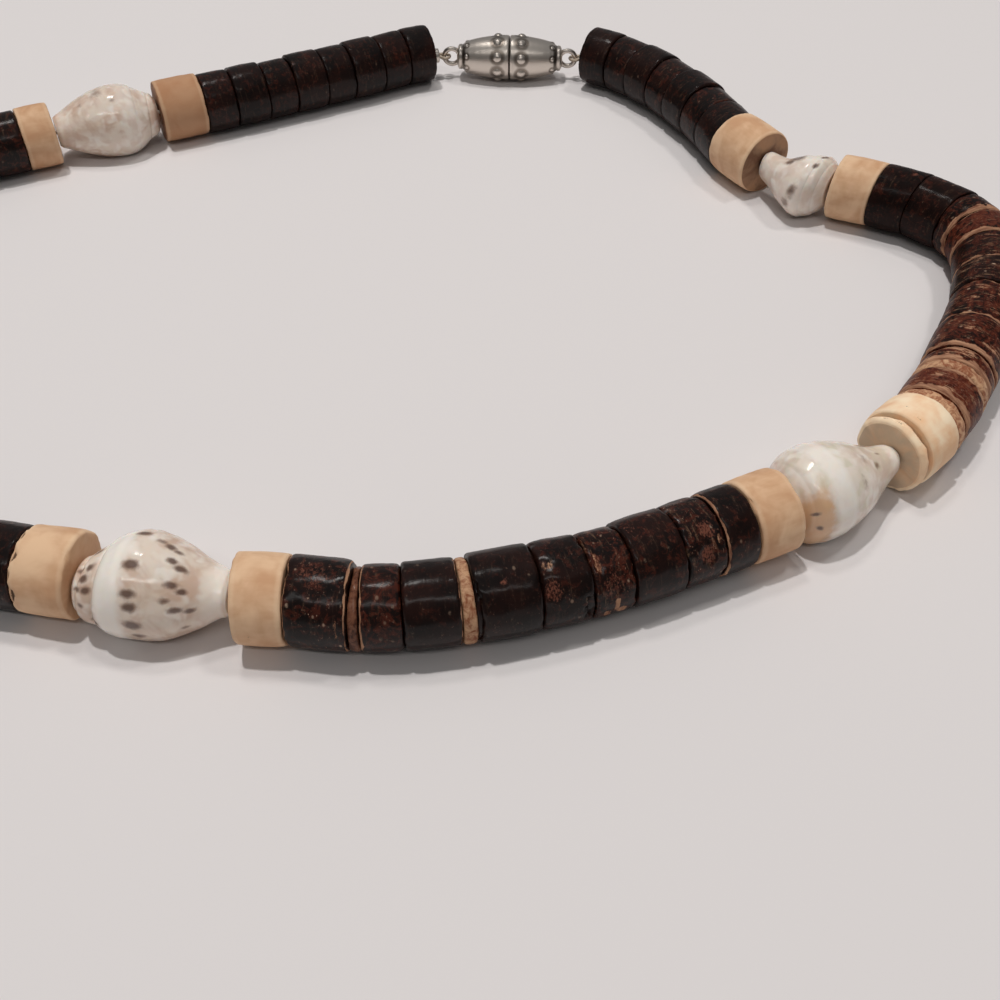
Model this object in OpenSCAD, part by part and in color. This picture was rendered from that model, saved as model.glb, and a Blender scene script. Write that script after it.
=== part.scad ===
// Shell choker lying in a loop: coconut heishi beads, pale wood beads, five whelk
// shells, one thread and a screw barrel clasp. Millimetres, +Z up, resting on Z = 0.
// The loop runs clockwise seen from above and starts at the middle of the clasp.

/* [Beads] */
// Bore of the coconut and wood beads
bore_d = 2; // [1.6:0.1:2.4]
// Worn round on the rim of a coconut bead
coco_round = 0.35; // [0.1:0.05:0.6]
// Worn round on the rim of a wood bead
wood_round = 0.25; // [0.1:0.05:0.6]
// Play left between one bead and the next where their rims come closest
play = 0.12; // [0.1:0.01:0.14]

/* [Shells] */
// Width of each whelk shell at its shoulder
shell_d = 10.2; // [9:0.1:10.6]
// Height of the shell's own axis above its flat mouth side
shell_axis_h = 4.2; // [4:0.05:4.4]
// Bore left open along the shell for the thread
shell_bore_d = 1.8; // [1.4:0.1:2]
// Depth of the groove where one whorl meets the next
suture_depth = 0.22; // [0:0.02:0.4]

/* [Thread] */
// Thickness of the thread
thread_d = 0.5; // [0.4:0.02:0.54]

/* [Clasp] */
// Length of the closed barrel
barrel_l = 16.2; // [15:0.1:17]
// Thickness of the barrel at its middle bands
barrel_d = 6.6; // [6:0.1:7]
// Thickness of the barrel where it meets the end caps
barrel_end_d = 4.4; // [4:0.1:5]
// Wire of the soldered end rings
ring_wire_d = 0.7; // [0.6:0.02:0.74]
// Thickness of the screw post
post_d = 2.4; // [2:0.1:2.8]

/* [Hidden] */

coco_colour = "#2e1a15";
tan_colour = "#b88f6c";
wood_colour = "#dcb78f";
shell_colour = "#e9e0d6";
silver_colour = "#b9b6b2";
thread_colour = "#d8cfc4";

// Kinds of row in the tables below
COCO = 0;
DISC = 1;
WOOD = 2;
SHELL = 3;

// Columns of every row: kind, length along the thread, diameter, extra turn in degrees,
// and the angle between its two faces, which lean together on the inside of the loop
KIND = 0;
LONG = 1;
WIDE = 2;
TURN = 3;
LEAN = 4;

coco_run_1_rows = [
    [COCO, 4.3, 8.1, -3, 0], [COCO, 4.0, 7.9, 0, 2], [COCO, 4.4, 8.2, 0, 2],
    [COCO, 4.2, 8.0, 0, 2], [COCO, 4.5, 8.3, 0, 0], [COCO, 4.2, 8.0, 0, 0],
    [COCO, 4.1, 8.1, 0, 0]
];
coco_run_2_rows = [
    [COCO, 4.9, 8.2, -12, 12], [COCO, 5.0, 8.1, -8, 12], [COCO, 3.3, 8.1, 0, 20],
    [COCO, 4.2, 8.1, 0, 22], [COCO, 5.1, 8.1, 0, 8], [COCO, 5.1, 8.2, 0, 6],
    [COCO, 6.8, 8.1, 0, 4], [COCO, 6.4, 8.3, 0, 2], [COCO, 2.3, 8.1, 0, 0],
    [DISC, 1.4, 8.2, 4, 0], [COCO, 3.8, 8.3, 0, 3], [DISC, 1.5, 8.2, 0, 3]
];
coco_run_3_rows = [
    [COCO, 3.4, 8.3, 0, 0], [COCO, 3.8, 8.1, 0, 0], [COCO, 4.7, 8.2, 0, 0],
    [COCO, 3.5, 8.0, 0, 0], [COCO, 4.2, 8.1, 0, 0], [COCO, 5.3, 8.2, 0, 0],
    [DISC, 1.0, 7.8, 0, 0], [COCO, 4.4, 8.0, 0, 0], [COCO, 3.1, 7.9, 0, 0],
    [DISC, 0.7, 7.6, 0, 0], [COCO, 5.0, 8.3, 0, 0]
];
coco_run_4_rows = [
    [COCO, 4.6, 8.1, 0, 0], [COCO, 4.3, 8.0, 0, 0], [COCO, 4.9, 8.2, 0, 0],
    [COCO, 4.5, 7.9, 0, 0], [COCO, 5.0, 8.1, 0, 0], [COCO, 4.6, 8.0, 0, 0],
    [DISC, 1.2, 7.8, 0, 0], [COCO, 4.3, 8.2, 0, 0], [COCO, 4.7, 8.1, 0, 0],
    [COCO, 4.4, 8.0, 0, 0]
];
coco_run_5_rows = [
    [COCO, 4.3, 8.1, 0, 0], [COCO, 4.4, 8.2, 0, 0], [COCO, 4.2, 8.0, 0, 0],
    [DISC, 1.1, 7.8, 0, 0], [COCO, 4.5, 8.1, 0, 0], [COCO, 4.2, 7.9, 0, 0],
    [COCO, 4.6, 8.2, 0, 0], [COCO, 4.2, 8.0, 0, 0], [COCO, 4.3, 8.1, 0, 0],
    [COCO, 4.2, 8.2, 0, 0]
];
coco_run_6_rows = [
    [COCO, 4.2, 8.1, 0, 0], [COCO, 4.4, 8.2, 0, 0], [COCO, 4.0, 7.9, 0, 0],
    [COCO, 4.5, 8.2, 0, 0], [COCO, 4.1, 8.0, 0, 0], [COCO, 4.5, 8.2, 0, 0],
    [COCO, 4.1, 8.0, 0, 0], [COCO, 4.0, 8.1, 0, 0]
];

// The whole string in order, one entry for each node: its name and its rows
string = [
    ["coco_run_1", coco_run_1_rows],
    ["wood_1", [[WOOD, 5.9, 8.5, 0, 0]]],
    ["shell_1", [[SHELL, 9, 8.2, 0, 0]]],
    ["wood_2", [[WOOD, 5.3, 8.2, -12, 0]]],
    ["coco_run_2", coco_run_2_rows],
    ["wood_3", [[WOOD, 4.0, 8.6, 0, 3]]],
    ["wood_disc", [[DISC, 1.2, 7.7, 0, 3]]],
    ["shell_2", [[SHELL, 13.4, 9.9, 0, 0]]],
    ["wood_4", [[WOOD, 4.7, 8.4, 0, 0]]],
    ["coco_run_3", coco_run_3_rows],
    ["wood_5", [[WOOD, 4.5, 8.4, 9, 0]]],
    ["shell_3", [[SHELL, 14, 10.2, 0, 0]]],
    ["wood_6", [[WOOD, 5.1, 8.3, 0, 0]]],
    ["coco_run_4", coco_run_4_rows],
    ["wood_7", [[WOOD, 5.1, 8.3, 0, 0]]],
    ["shell_4", [[SHELL, 14.2, 10.0, 0, 0]]],
    ["wood_8", [[WOOD, 5.2, 8.4, 0, 0]]],
    ["coco_run_5", coco_run_5_rows],
    ["wood_9", [[WOOD, 4.3, 8.3, 0, 0]]],
    ["shell_5", [[SHELL, 14.1, 9.8, 0, 0]]],
    ["wood_10", [[WOOD, 6.1, 8.3, 0, 0]]],
    ["coco_run_6", coco_run_6_rows]
];

// The way the string lies on the table, seen from above: x, y
route = [
    [19.5, 54.5], [32, 53.5], [40.5, 46.5], [47, 36], [52, 24],
    [60, 16.5], [70.5, 12], [77, 5], [76, -6], [70.5, -18],
    [62.5, -30.5], [53, -38.5], [38.5, -46], [23.5, -52], [7, -55],
    [-10, -53], [-28, -50], [-44, -46.5], [-58.5, -39.5], [-69.5, -28],
    [-75.5, -13.5], [-74.5, 1], [-67.5, 13.5], [-57.5, 22.5], [-45.5, 29],
    [-31, 35.5], [-18, 41.5], [-4.5, 48.5], [7.5, 54.5]
];
steps = 16;
look_ahead = 1.5;
// Moves the middle of the outline's box onto the origin
centring = [-0.66, 0.52];

// Outline of a shell, from the canal end to the drilled spire: part of length, part of radius
shell_outline = [
    [0, 0.40], [0.05, 0.47], [0.14, 0.61], [0.19, 0.67], [0.31, 0.81], [0.41, 0.92],
    [0.52, 0.985], [0.60, 1], [0.69, 0.955], [0.77, 0.80], [0.84, 0.66], [0.92, 0.52], [1, 0.40]
];
shell_sides = 24;
shell_rings = 26;
whorl_start = 0.66;
whorl_pitch = 0.15;

clasp_half = 12;
// Room between a crimp and the first bead beside it
crimp_room = 0.4;
barrel_half = barrel_l / 2;
barrel_h = barrel_d / 2;
seam = 0.1;
cap_l = 0.8;
cap_d = 3.6;
band_l = 1.5;
socket_d = post_d + 0.4;
post_l = 5;
screw_pitch = 0.8;
screw_depth = 0.15;
ring_d = 2.4;
ring_x = barrel_half + ring_d / 2 - 0.35;
crimp_d = 2.1;
crimp_bore_d = 1.4;
crimp_l = 0.95;
crimp_middle = clasp_half - 0.05 - crimp_l / 2;
crimp_h = 3.5;
round_sides = 96;
thread_sides = 8;
// Where the thread bends inside a shell and inside a skewed bead, as a part of the
// length from the middle
shell_bend = 0.42;
lean_bend = 0.35;

// Catmull-Rom curve from b to c, with its neighbours a and d
function spline(a, b, c, d, t) =
    0.5 * (2 * b + (c - a) * t + (2 * a - 5 * b + 4 * c - d) * t * t
    + (3 * b - a - 3 * c + d) * t * t * t);

corners = len(route);
line = [
    for (i = [0:corners], k = [0:(i < corners ? steps - 1 : 0)])
        spline(
            route[(i + corners - 1) % corners], route[i % corners],
            route[(i + 1) % corners], route[(i + 2) % corners], k / steps
        )
];
last = len(line) - 1;
arc = [for (i = 0, s = 0; i <= last; s = s + norm(line[min(i + 1, last)] - line[i]), i = i + 1) s];
loop_l = arc[last];
x_table = [for (i = [0:last]) [arc[i], line[i].x]];
y_table = [for (i = [0:last]) [arc[i], line[i].y]];

// Point and heading at a distance s along the loop, s counted from the clasp's middle
function wrap(s) = s < 0 ? s + loop_l : (s > loop_l ? s - loop_l : s);
function spot(s) = [lookup(wrap(s), x_table), lookup(wrap(s), y_table)] + centring;
function heading(s) =
    let (run = spot(s + look_ahead) - spot(s - look_ahead)) atan2(run.y, run.x);
// The same turn, from -180 to 180 degrees
function swing(a) = a > 180 ? a - 360 : (a < -180 ? a + 360 : a);

// Every bead and shell in order, and where its middle lies along the loop
rows = [for (part = string) each part[1]];
count = len(rows);
function end_r(row) = row[KIND] == SHELL ? 0.24 * row[WIDE] : row[WIDE] / 2;
function facing(i, s) = heading(s) + rows[i][TURN];

// Distance from the middle of bead i at s to the middle of the next one: half of each,
// the play, and room for the inner rims where the loop bends
function pace(i, s, slack) =
    let (
        near = (rows[i][LONG] + rows[i + 1][LONG]) / 2 + play + slack,
        bend = swing(facing(i, s) - facing(i + 1, s + near)),
        open = abs(bend - (rows[i][LEAN] + rows[i + 1][LEAN]) / 2),
        rim = min(end_r(rows[i]), end_r(rows[i + 1]))
    )
    near + rim * open * PI / 180;
function middles(slack) = [
    for (
        i = 0, s = clasp_half + crimp_room + rows[0][LONG] / 2;
        i < count;
        s = s + (i + 1 < count ? pace(i, s, slack) : 0), i = i + 1
    ) s
];
function string_end(slack) =
    middles(slack)[count - 1] + rows[count - 1][LONG] / 2 + crimp_room;
// What each gap gets of the length left over, worked out twice as the bends shift with it
function share(slack) = (loop_l - clasp_half - string_end(slack)) / (count - 1);
first_share = share(0);
spare = first_share + share(first_share);
places = middles(spare);

function first_row(name, k = 0, n = 0) =
    string[k][0] == name ? n : first_row(name, k + 1, n + len(string[k][1]));
function rows_of(name) = [for (part = string) if (part[0] == name) each part[1]];

// Puts a child that lies along +Z at its place on the loop, its axis h above the table
module at_row(i, h) {
    s = places[i];
    translate([spot(s).x, spot(s).y, h])
        rotate([0, 90, facing(i, s)])
            children();
}

// A drilled disc with its rims worn round in two steps
module drilled(long, wide, worn) {
    r = wide / 2;
    z = long / 2;
    w = min(worn, long / 3);
    rotate_extrude($fn = round_sides)
        polygon([
            [bore_d / 2, -z], [r - w, -z], [r - 0.3 * w, z * -1 + 0.3 * w], [r, w - z],
            [r, z - w], [r - 0.3 * w, z - 0.3 * w], [r - w, z], [bore_d / 2, z]
        ]);
}

// A drilled disc whose faces lean together on its -Y side
module leaning(long, wide, lean) {
    r = wide / 2;
    rise = r * tan(lean / 2);
    difference() {
        intersection() {
            cylinder(d = wide, h = long + 2 * wide, center = true, $fn = round_sides);
            rotate([90, 0, 90])
                linear_extrude(2 * wide, center = true)
                    polygon([
                        [-r, rise - long / 2], [r, -rise - long / 2],
                        [r, rise + long / 2], [-r, long / 2 - rise]
                    ]);
        }
        cylinder(d = bore_d, h = 2 * long + wide, center = true, $fn = round_sides);
    }
}

module coco_run(name) {
    first = first_row(name);
    for (i = [0:len(rows_of(name)) - 1]) {
        row = rows[first + i];
        color(row[KIND] == COCO ? coco_colour : tan_colour)
            at_row(first + i, row[WIDE] / 2)
                if (row[LEAN] > 0)
                    leaning(row[LONG], row[WIDE], row[LEAN]);
                else
                    drilled(row[LONG], row[WIDE], coco_round);
    }
}

module wood_bead(name) {
    i = first_row(name);
    color(wood_colour)
        at_row(i, rows[i][WIDE] / 2)
            if (rows[i][LEAN] > 0)
                leaning(rows[i][LONG], rows[i][WIDE], rows[i][LEAN]);
            else
                drilled(rows[i][LONG], rows[i][WIDE], wood_round);
}

// Radius of a shell at a part t of its length and a turn a about its axis, where the
// mouth side is at a = 0 and is cut flat so that the shell rests on it
function shell_r(t, a, r_max, flat) =
    let (
        past = (t - whorl_start) / whorl_pitch - a / 360,
        near_suture = min(past - floor(past), ceil(past) - past),
        groove = t > whorl_start ? suture_depth * max(0, 1 - near_suture * 5) : 0,
        r = lookup(t, shell_outline) * r_max - groove
    )
    cos(a) > 0.01 ? min(r, flat / cos(a)) : r;

// One closed skin: the outside from the canal to the spire, then back through the bore
module whelk(long, wide) {
    outer = [
        for (k = [0:shell_rings], j = [0:shell_sides - 1])
            let (
                t = k / shell_rings,
                a = 360 * j / shell_sides,
                r = shell_r(t, a, wide / 2, shell_axis_h)
            )
            [r * cos(a), r * sin(a), (t - 0.5) * long]
    ];
    inner = [
        for (end = [1, 0], j = [0:shell_sides - 1])
            let (a = 360 * j / shell_sides)
            [shell_bore_d / 2 * cos(a), shell_bore_d / 2 * sin(a), (end - 0.5) * long]
    ];
    rings = shell_rings + 3;
    faces = [
        for (k = [0:rings - 1], j = [0:shell_sides - 1])
            let (
                a = k * shell_sides + j,
                b = k * shell_sides + (j + 1) % shell_sides,
                c = ((k + 1) % rings) * shell_sides + (j + 1) % shell_sides,
                d = ((k + 1) % rings) * shell_sides + j
            )
            each [[a, b, c], [a, c, d]]
    ];
    polyhedron(points = concat(outer, inner), faces = [for (f = faces) [f[2], f[1], f[0]]]);
}

module shell_bead(name) {
    i = first_row(name);
    color(shell_colour)
        at_row(i, shell_axis_h)
            whelk(rows[i][LONG], rows[i][WIDE]);
}

// Outside of one barrel half and its bore, radius against distance from the seam
module barrel_half_profile(bore_r, bore_l) {
    polygon([
        [bore_r, seam / 2], [barrel_h, seam / 2], [barrel_h, band_l * 0.45],
        [barrel_h - 0.3, band_l * 0.5], [barrel_h, band_l * 0.55], [barrel_h, band_l],
        [barrel_h - 0.35, band_l + 0.2], [barrel_end_d / 2, barrel_half - cap_l - 0.3],
        [cap_d / 2, barrel_half - cap_l], [cap_d / 2, barrel_half - 0.3],
        [cap_d / 2 - 0.5, barrel_half], [0, barrel_half], [0, bore_l], [bore_r, bore_l]
    ]);
}

// Places a clasp part built along +Z from the clasp's middle, towards side 1 or -1
module at_clasp(side) {
    translate([spot(0).x, spot(0).y, barrel_h])
        rotate([0, 90, heading(0) + (side > 0 ? 0 : 180)])
            children();
}

module end_ring() {
    translate([0, 0, ring_x])
        rotate([90, 0, 0])
            rotate_extrude($fn = round_sides)
                translate([ring_d / 2, 0])
                    circle(d = ring_wire_d, $fn = round_sides / 2);
}

module clasp_socket() {
    color(silver_colour)
        at_clasp(-1) {
            rotate_extrude($fn = round_sides)
                barrel_half_profile(socket_d / 2, post_l + 0.6);
            end_ring();
        }
}

module clasp_screw() {
    turns = floor(post_l / screw_pitch) - 1;
    r = post_d / 2;
    color(silver_colour)
        at_clasp(1) {
            rotate_extrude($fn = round_sides)
                barrel_half_profile(0.01, seam / 2 + 0.01);
            end_ring();
            rotate_extrude($fn = round_sides)
                polygon(concat(
                    [[0, 1], [0, -post_l]],
                    [
                        for (k = [turns:-1:0])
                            each [
                                [r - screw_depth, -(k + 1) * screw_pitch],
                                [r, -(k + 0.5) * screw_pitch]
                            ]
                    ],
                    [[r - screw_depth, 0], [r - screw_depth, 1]]
                ));
        }
}

module crimp(side) {
    s = side * crimp_middle;
    r = crimp_d / 2;
    z = crimp_l / 2;
    color(silver_colour)
        translate([spot(s).x, spot(s).y, crimp_h])
            rotate([0, 90, heading(s)])
                rotate_extrude($fn = round_sides)
                    polygon([
                        [crimp_bore_d / 2, -z], [r - 0.15, -z], [r, 0.2 - z],
                        [r, z - 0.2], [r - 0.15, z], [crimp_bore_d / 2, z]
                    ]);
}

// Half of the loop of thread through an end ring: distance from the clasp's middle,
// distance to one side, height
ring_loop = [
    [9.3, 0, 3.3], [9.4, 0.3, 3.3], [9.6, 0.58, 3.3], [9.9, 0.76, 3.3], [10.3, 0.78, 3.32],
    [10.65, 0.58, 3.42], [10.9, 0.36, 3.49], [11.1, 0.32, 3.5], [11.8, 0.31, 3.5]
];

function beside(s, off, h) =
    let (a = heading(s)) [spot(s).x - off * sin(a), spot(s).y + off * cos(a), h];
function reversed(list) = [for (i = [len(list) - 1:-1:0]) list[i]];

// The thread bends at the middle of each bead, and near both ends of the bore of each
// shell and of each bead that leans or is turned
function bends(i) =
    let (
        s = places[i],
        a = facing(i, s),
        skewed = rows[i][LEAN] > 0 || rows[i][TURN] != 0,
        reach = rows[i][KIND] == SHELL ? shell_bend : (skewed ? lean_bend : 0)
    )
    [
        for (k = reach > 0 ? [-reach, reach] : [0])
            [
                spot(s).x + k * rows[i][LONG] * cos(a),
                spot(s).y + k * rows[i][LONG] * sin(a),
                rows[i][KIND] == SHELL ? shell_axis_h : rows[i][WIDE] / 2
            ]
    ];

module thread() {
    tail = reversed([for (i = [1:len(ring_loop) - 1]) ring_loop[i]]);
    path = concat(
        [for (p = tail) beside(p[0], -p[1], p[2])],
        [for (p = ring_loop) beside(p[0], p[1], p[2])],
        [for (i = [0:count - 1]) each bends(i)],
        [for (p = reversed(ring_loop)) beside(-p[0], p[1], p[2])],
        [for (p = reversed(tail)) beside(-p[0], -p[1], p[2])]
    );
    ends = len(path) - 1;
    n = thread_sides;
    skin = [
        for (i = [0:ends])
            let (
                ahead = path[min(i + 1, ends)] - path[max(i - 1, 0)],
                out = cross(ahead, [0, 0, 1]),
                side = out / norm(out),
                over = cross(side, ahead / norm(ahead))
            )
            for (j = [0:n - 1])
                path[i] + thread_d / 2 * (cos(360 * j / n) * side + sin(360 * j / n) * over)
    ];
    walls = [
        for (i = [0:ends - 1], j = [0:n - 1])
            let (a = i * n + j, b = i * n + (j + 1) % n)
            each [[a, a + n, b], [b, a + n, b + n]]
    ];
    color(thread_colour)
        polyhedron(
            points = skin,
            faces = concat(
                walls,
                [[for (j = [0:n - 1]) j]],
                [[for (j = [n - 1:-1:0]) ends * n + j]]
            )
        );
}

thread();
clasp_socket();
clasp_screw();
crimp(1);  // crimp_right
crimp(-1);  // crimp_left
coco_run("coco_run_1");  // coco_run_1
wood_bead("wood_1");  // wood_1
shell_bead("shell_1");  // shell_1
wood_bead("wood_2");  // wood_2
coco_run("coco_run_2");  // coco_run_2
wood_bead("wood_3");  // wood_3
wood_bead("wood_disc");  // wood_disc
shell_bead("shell_2");  // shell_2
wood_bead("wood_4");  // wood_4
coco_run("coco_run_3");  // coco_run_3
wood_bead("wood_5");  // wood_5
shell_bead("shell_3");  // shell_3
wood_bead("wood_6");  // wood_6
coco_run("coco_run_4");  // coco_run_4
wood_bead("wood_7");  // wood_7
shell_bead("shell_4");  // shell_4
wood_bead("wood_8");  // wood_8
coco_run("coco_run_5");  // coco_run_5
wood_bead("wood_9");  // wood_9
shell_bead("shell_5");  // shell_5
wood_bead("wood_10");  // wood_10
coco_run("coco_run_6");  // coco_run_6
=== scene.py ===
"""Looks of the shell choker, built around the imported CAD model.

Every bead, shell and clasp half gets a detailed surface in place of its plain CAD solid.
The layout repeats the construction's own rules, so each surface stands where its solid
stands. Lengths are in millimetres until a mesh is made.
"""

import enum
import itertools
import logging
import math
from collections.abc import Mapping, Sequence
from dataclasses import dataclass, field, replace

import bpy
import numpy as np
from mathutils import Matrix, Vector
from numpy.typing import NDArray


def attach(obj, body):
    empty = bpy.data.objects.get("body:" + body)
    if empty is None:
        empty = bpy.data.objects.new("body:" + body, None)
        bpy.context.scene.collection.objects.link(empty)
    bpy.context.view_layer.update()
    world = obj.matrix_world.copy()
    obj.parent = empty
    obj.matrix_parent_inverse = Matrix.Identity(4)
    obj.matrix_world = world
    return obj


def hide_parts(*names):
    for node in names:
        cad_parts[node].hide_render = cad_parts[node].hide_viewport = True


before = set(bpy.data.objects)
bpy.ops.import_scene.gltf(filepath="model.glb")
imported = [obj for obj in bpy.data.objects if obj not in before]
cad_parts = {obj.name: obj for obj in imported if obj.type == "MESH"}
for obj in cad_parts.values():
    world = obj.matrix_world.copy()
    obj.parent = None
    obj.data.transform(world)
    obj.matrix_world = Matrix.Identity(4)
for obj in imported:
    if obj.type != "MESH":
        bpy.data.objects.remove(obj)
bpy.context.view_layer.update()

Array = NDArray[np.float64]
Colour = tuple[float, float, float, float]
Traits = dict[str, Array]
Socket = bpy.types.NodeSocket

log = logging.getLogger("choker")
MM = 0.001
SHELL_AXIS = 4.2  # height of a shell's axis above the table, in mm
SHELL_END = 0.24  # radius of a shell's ends, as a part of its width
SEAM_TURN = 0.01  # keeps the columns of beads and shells off the lowest line, in radians
DOT_SPREAD = 1.2  # how far a dot's soft edge reaches, in its half widths


def ease(value: Array | float, low: float, high: float) -> Array:
    """Smooth step, 0 at `low` and 1 at `high`: 3 t^2 - 2 t^3 of the clamped way t."""
    t = np.clip((np.asarray(value, float) - low) / (high - low), 0.0, 1.0)
    return t * t * (3.0 - 2.0 * t)


def linear(code: str) -> Colour:
    """Turns a display colour into linear light by the sRGB curve.

    Args:
        code: Six hexadecimal digits after a number sign.

    Returns:
        Red, green, blue and an alpha of 1.
    """
    parts = [int(code[i : i + 2], 16) / 255 for i in (1, 3, 5)]
    light = [p / 12.92 if p <= 0.04045 else ((p + 0.055) / 1.055) ** 2.4 for p in parts]
    return (*light, 1.0)


@dataclass
class Noise:
    """Smooth seeded noise in space: random slopes on a lattice, blended between its points.

    Attributes:
        seed: Start of the random numbers.
        size: Slopes before the lattice repeats itself.
        gain: Brings one layer to about -1 to 1.
        octaves: Layers in a sum of them.
        layers_gain: Brings a sum of layers to about -1 to 1.
        layer_shift: Moves each layer off the one before, in lattice steps.
    """

    seed: int
    size: int = 256
    gain: float = 1.7
    octaves: int = 3
    layers_gain: float = 1.3
    layer_shift: float = 17.3

    def __post_init__(self) -> None:
        """Draws the lattice's order and slopes."""
        rng = np.random.default_rng(self.seed)
        self.order = np.tile(rng.permutation(self.size), 2)
        slopes = rng.normal(size=(self.size, 3))
        self.slopes = slopes / np.linalg.norm(slopes, axis=1, keepdims=True)

    def __call__(self, points: Array) -> Array:
        """Noise at each point: the eight nearest slopes times the way to them, eased.

        Args:
            points: Positions in lattice steps, with three numbers last.

        Returns:
            Values from about -1 to 1, one a point.
        """
        cell = np.floor(points).astype(np.int64)
        within = points - cell
        eased = within**3 * (within * (within * 6.0 - 15.0) + 10.0)
        total = np.zeros(points.shape[:-1])
        for corner in itertools.product((0, 1), repeat=3):
            at = (cell + corner) % self.size
            pick = self.order[self.order[self.order[at[..., 0]] + at[..., 1]] + at[..., 2]]
            weight = np.where(np.array(corner) == 1, eased, 1.0 - eased).prod(axis=-1)
            total += weight * (self.slopes[pick] * (within - corner)).sum(axis=-1)
        return total * self.gain

    def layers(self, points: Array) -> Array:
        """Sum of ever finer noise, each octave half as strong and twice as fine.

        Args:
            points: Positions in lattice steps, with three numbers last.

        Returns:
            Values from about -1 to 1, one a point.
        """
        steps = range(self.octaves)
        fine = (self(points * 2.0**k + self.layer_shift * k) * 0.5 ** (k + 1) for k in steps)
        return sum(fine) * self.layers_gain


def circle(count: int, start: float = -np.pi, shift: float = 0.0) -> Array:
    """So many even angles once round from a start, all moved on by a shift."""
    return np.linspace(start, start + 2 * np.pi, count, endpoint=False) + shift


def wrapped(angle: Array | float, half_turn: float = np.pi) -> Array | float:
    """The same angle between minus and plus half a turn."""
    return (angle + half_turn) % (2 * half_turn) - half_turn


def distances(line: Array) -> Array:
    """How far along a line of points each of them lies, the first at 0."""
    return np.concatenate([[0.0], np.cumsum(np.linalg.norm(np.diff(line, axis=0), axis=1))])


def spread(*parts: Array | float) -> Array:
    """Numbers of different shapes, brought to one grid and stacked last."""
    return np.stack(np.broadcast_arrays(*parts), axis=-1)


def turned(t: Array, r: Array | float, theta: Array) -> Array:
    """A section turned about its axis: (t, r sin theta, r cos theta), theta from the top."""
    return spread(t, r * np.sin(theta), r * np.cos(theta))


@dataclass
class Patch:
    """A grid of points whose columns close round, and whose rows close round or end in poles.

    Attributes:
        points: Positions in mm, rows by columns by three.
        traits: Values for the finish, rows by columns, or rows by columns by three.
        poles: Points that close the first and the last row, or None for a closed loop of rows.
    """

    points: Array
    traits: Traits
    poles: tuple[Array, Array] | None = None

    def triangles(self) -> NDArray[np.int64]:
        """Two triangles for each cell of the grid, and a fan at each pole.

        Returns:
            Indices into the flattened grid, with the poles after it, turned outwards.
        """
        rows, columns = self.points.shape[:2]
        grid = np.arange(rows * columns).reshape(rows, columns)
        after = np.roll(grid, -1, axis=1)
        if self.poles is None:
            a, b, c, d = grid, after, np.roll(after, -1, axis=0), np.roll(grid, -1, axis=0)
        else:
            a, b, c, d = grid[:-1], after[:-1], after[1:], grid[1:]
        cells = [np.stack([a, b, c], -1).reshape(-1, 3), np.stack([a, c, d], -1).reshape(-1, 3)]
        if self.poles is not None:
            first, last = np.full(columns, rows * columns), np.full(columns, rows * columns + 1)
            cells.append(np.stack([first, after[0], grid[0]], -1))
            cells.append(np.stack([last, grid[-1], after[-1]], -1))
        faces = np.concatenate(cells)
        corner = self.vertices()[faces]
        volume = (corner[:, 0] * np.cross(corner[:, 1], corner[:, 2])).sum()
        return faces if volume > 0 else faces[:, ::-1]

    def vertices(self) -> Array:
        """The grid's points in one list, with the poles last."""
        flat = self.points.reshape(-1, 3)
        return flat if self.poles is None else np.concatenate([flat, *[p[None] for p in self.poles]])

    def trait(self, name: str) -> Array:
        """One trait in one list, in which a pole repeats the row beside it.

        Args:
            name: Its name.

        Returns:
            Its values, in the order of the vertices.
        """
        value = self.traits[name]
        flat = value.reshape(-1, *value.shape[2:])
        return flat if self.poles is None else np.concatenate([flat, value[0, :1], value[-1, :1]])


@dataclass
class Piece:
    """One shown object, put together from patches.

    Attributes:
        name: Name of the object.
        nodes: CAD nodes that it stands for.
        slot: Material slot of the record; not used.
        material: Its finish.
        patches: Its surfaces.
    """

    name: str
    nodes: tuple[str, ...]
    slot: str
    material: bpy.types.Material
    patches: list[Patch] = field(default_factory=list)

    def build(self) -> bpy.types.Object:
        """Makes the mesh, joins it to the frame and reports it.

        Returns:
            The new object.
        """
        offset, points, faces = 0, [], []
        for patch in self.patches:
            vertices = patch.vertices()
            points.append(vertices)
            faces.append(patch.triangles() + offset)
            offset += len(vertices)
        mesh = bpy.data.meshes.new(self.name)
        mesh.from_pydata(np.concatenate(points) * MM, [], np.concatenate(faces))
        mesh.polygons.foreach_set("use_smooth", np.ones(len(mesh.polygons), bool))
        for key in self.patches[0].traits:
            values = np.concatenate([patch.trait(key) for patch in self.patches])
            if values.ndim == 1:
                mesh.attributes.new(key, "FLOAT", "POINT").data.foreach_set("value", values)
            else:
                data = mesh.attributes.new(key, "FLOAT_VECTOR", "POINT").data
                data.foreach_set("vector", values.ravel())
        mesh.materials.append(self.material)
        mesh.update()
        obj = bpy.data.objects.new(self.name, mesh)
        bpy.context.scene.collection.objects.link(obj)
        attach(obj, "root")
        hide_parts(*self.nodes)
        log.info("%s: %d triangles for %s", self.name, len(mesh.polygons), ", ".join(self.nodes))
        return obj


class Kind(enum.Enum):
    """What a row of the string is."""

    COCO = "coco"
    DISC = "disc"
    WOOD = "wood"
    SHELL = "shell"


@dataclass(frozen=True)
class Mark:
    """A worn or broken spot on a bead.

    Attributes:
        angle: Degrees round the bead from its top, positive towards the loop's outside.
        along: Place along the bead, -1 at the end nearer the clasp's start, 1 at the other.
        width: Half width round the bead, in mm.
        length: Half length along the bead, in mm.
        depth: How deep it is broken, in mm.
        pale: How much tan it bares, 0 to 1.
        pink: How much pinkish brown it bares on coconut, 0 to 1; on wood how much painted shade darkens its
            chip or crack.
    """

    angle: float
    along: float
    width: float
    length: float
    depth: float
    pale: float = 0.0
    pink: float = 0.0


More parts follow.
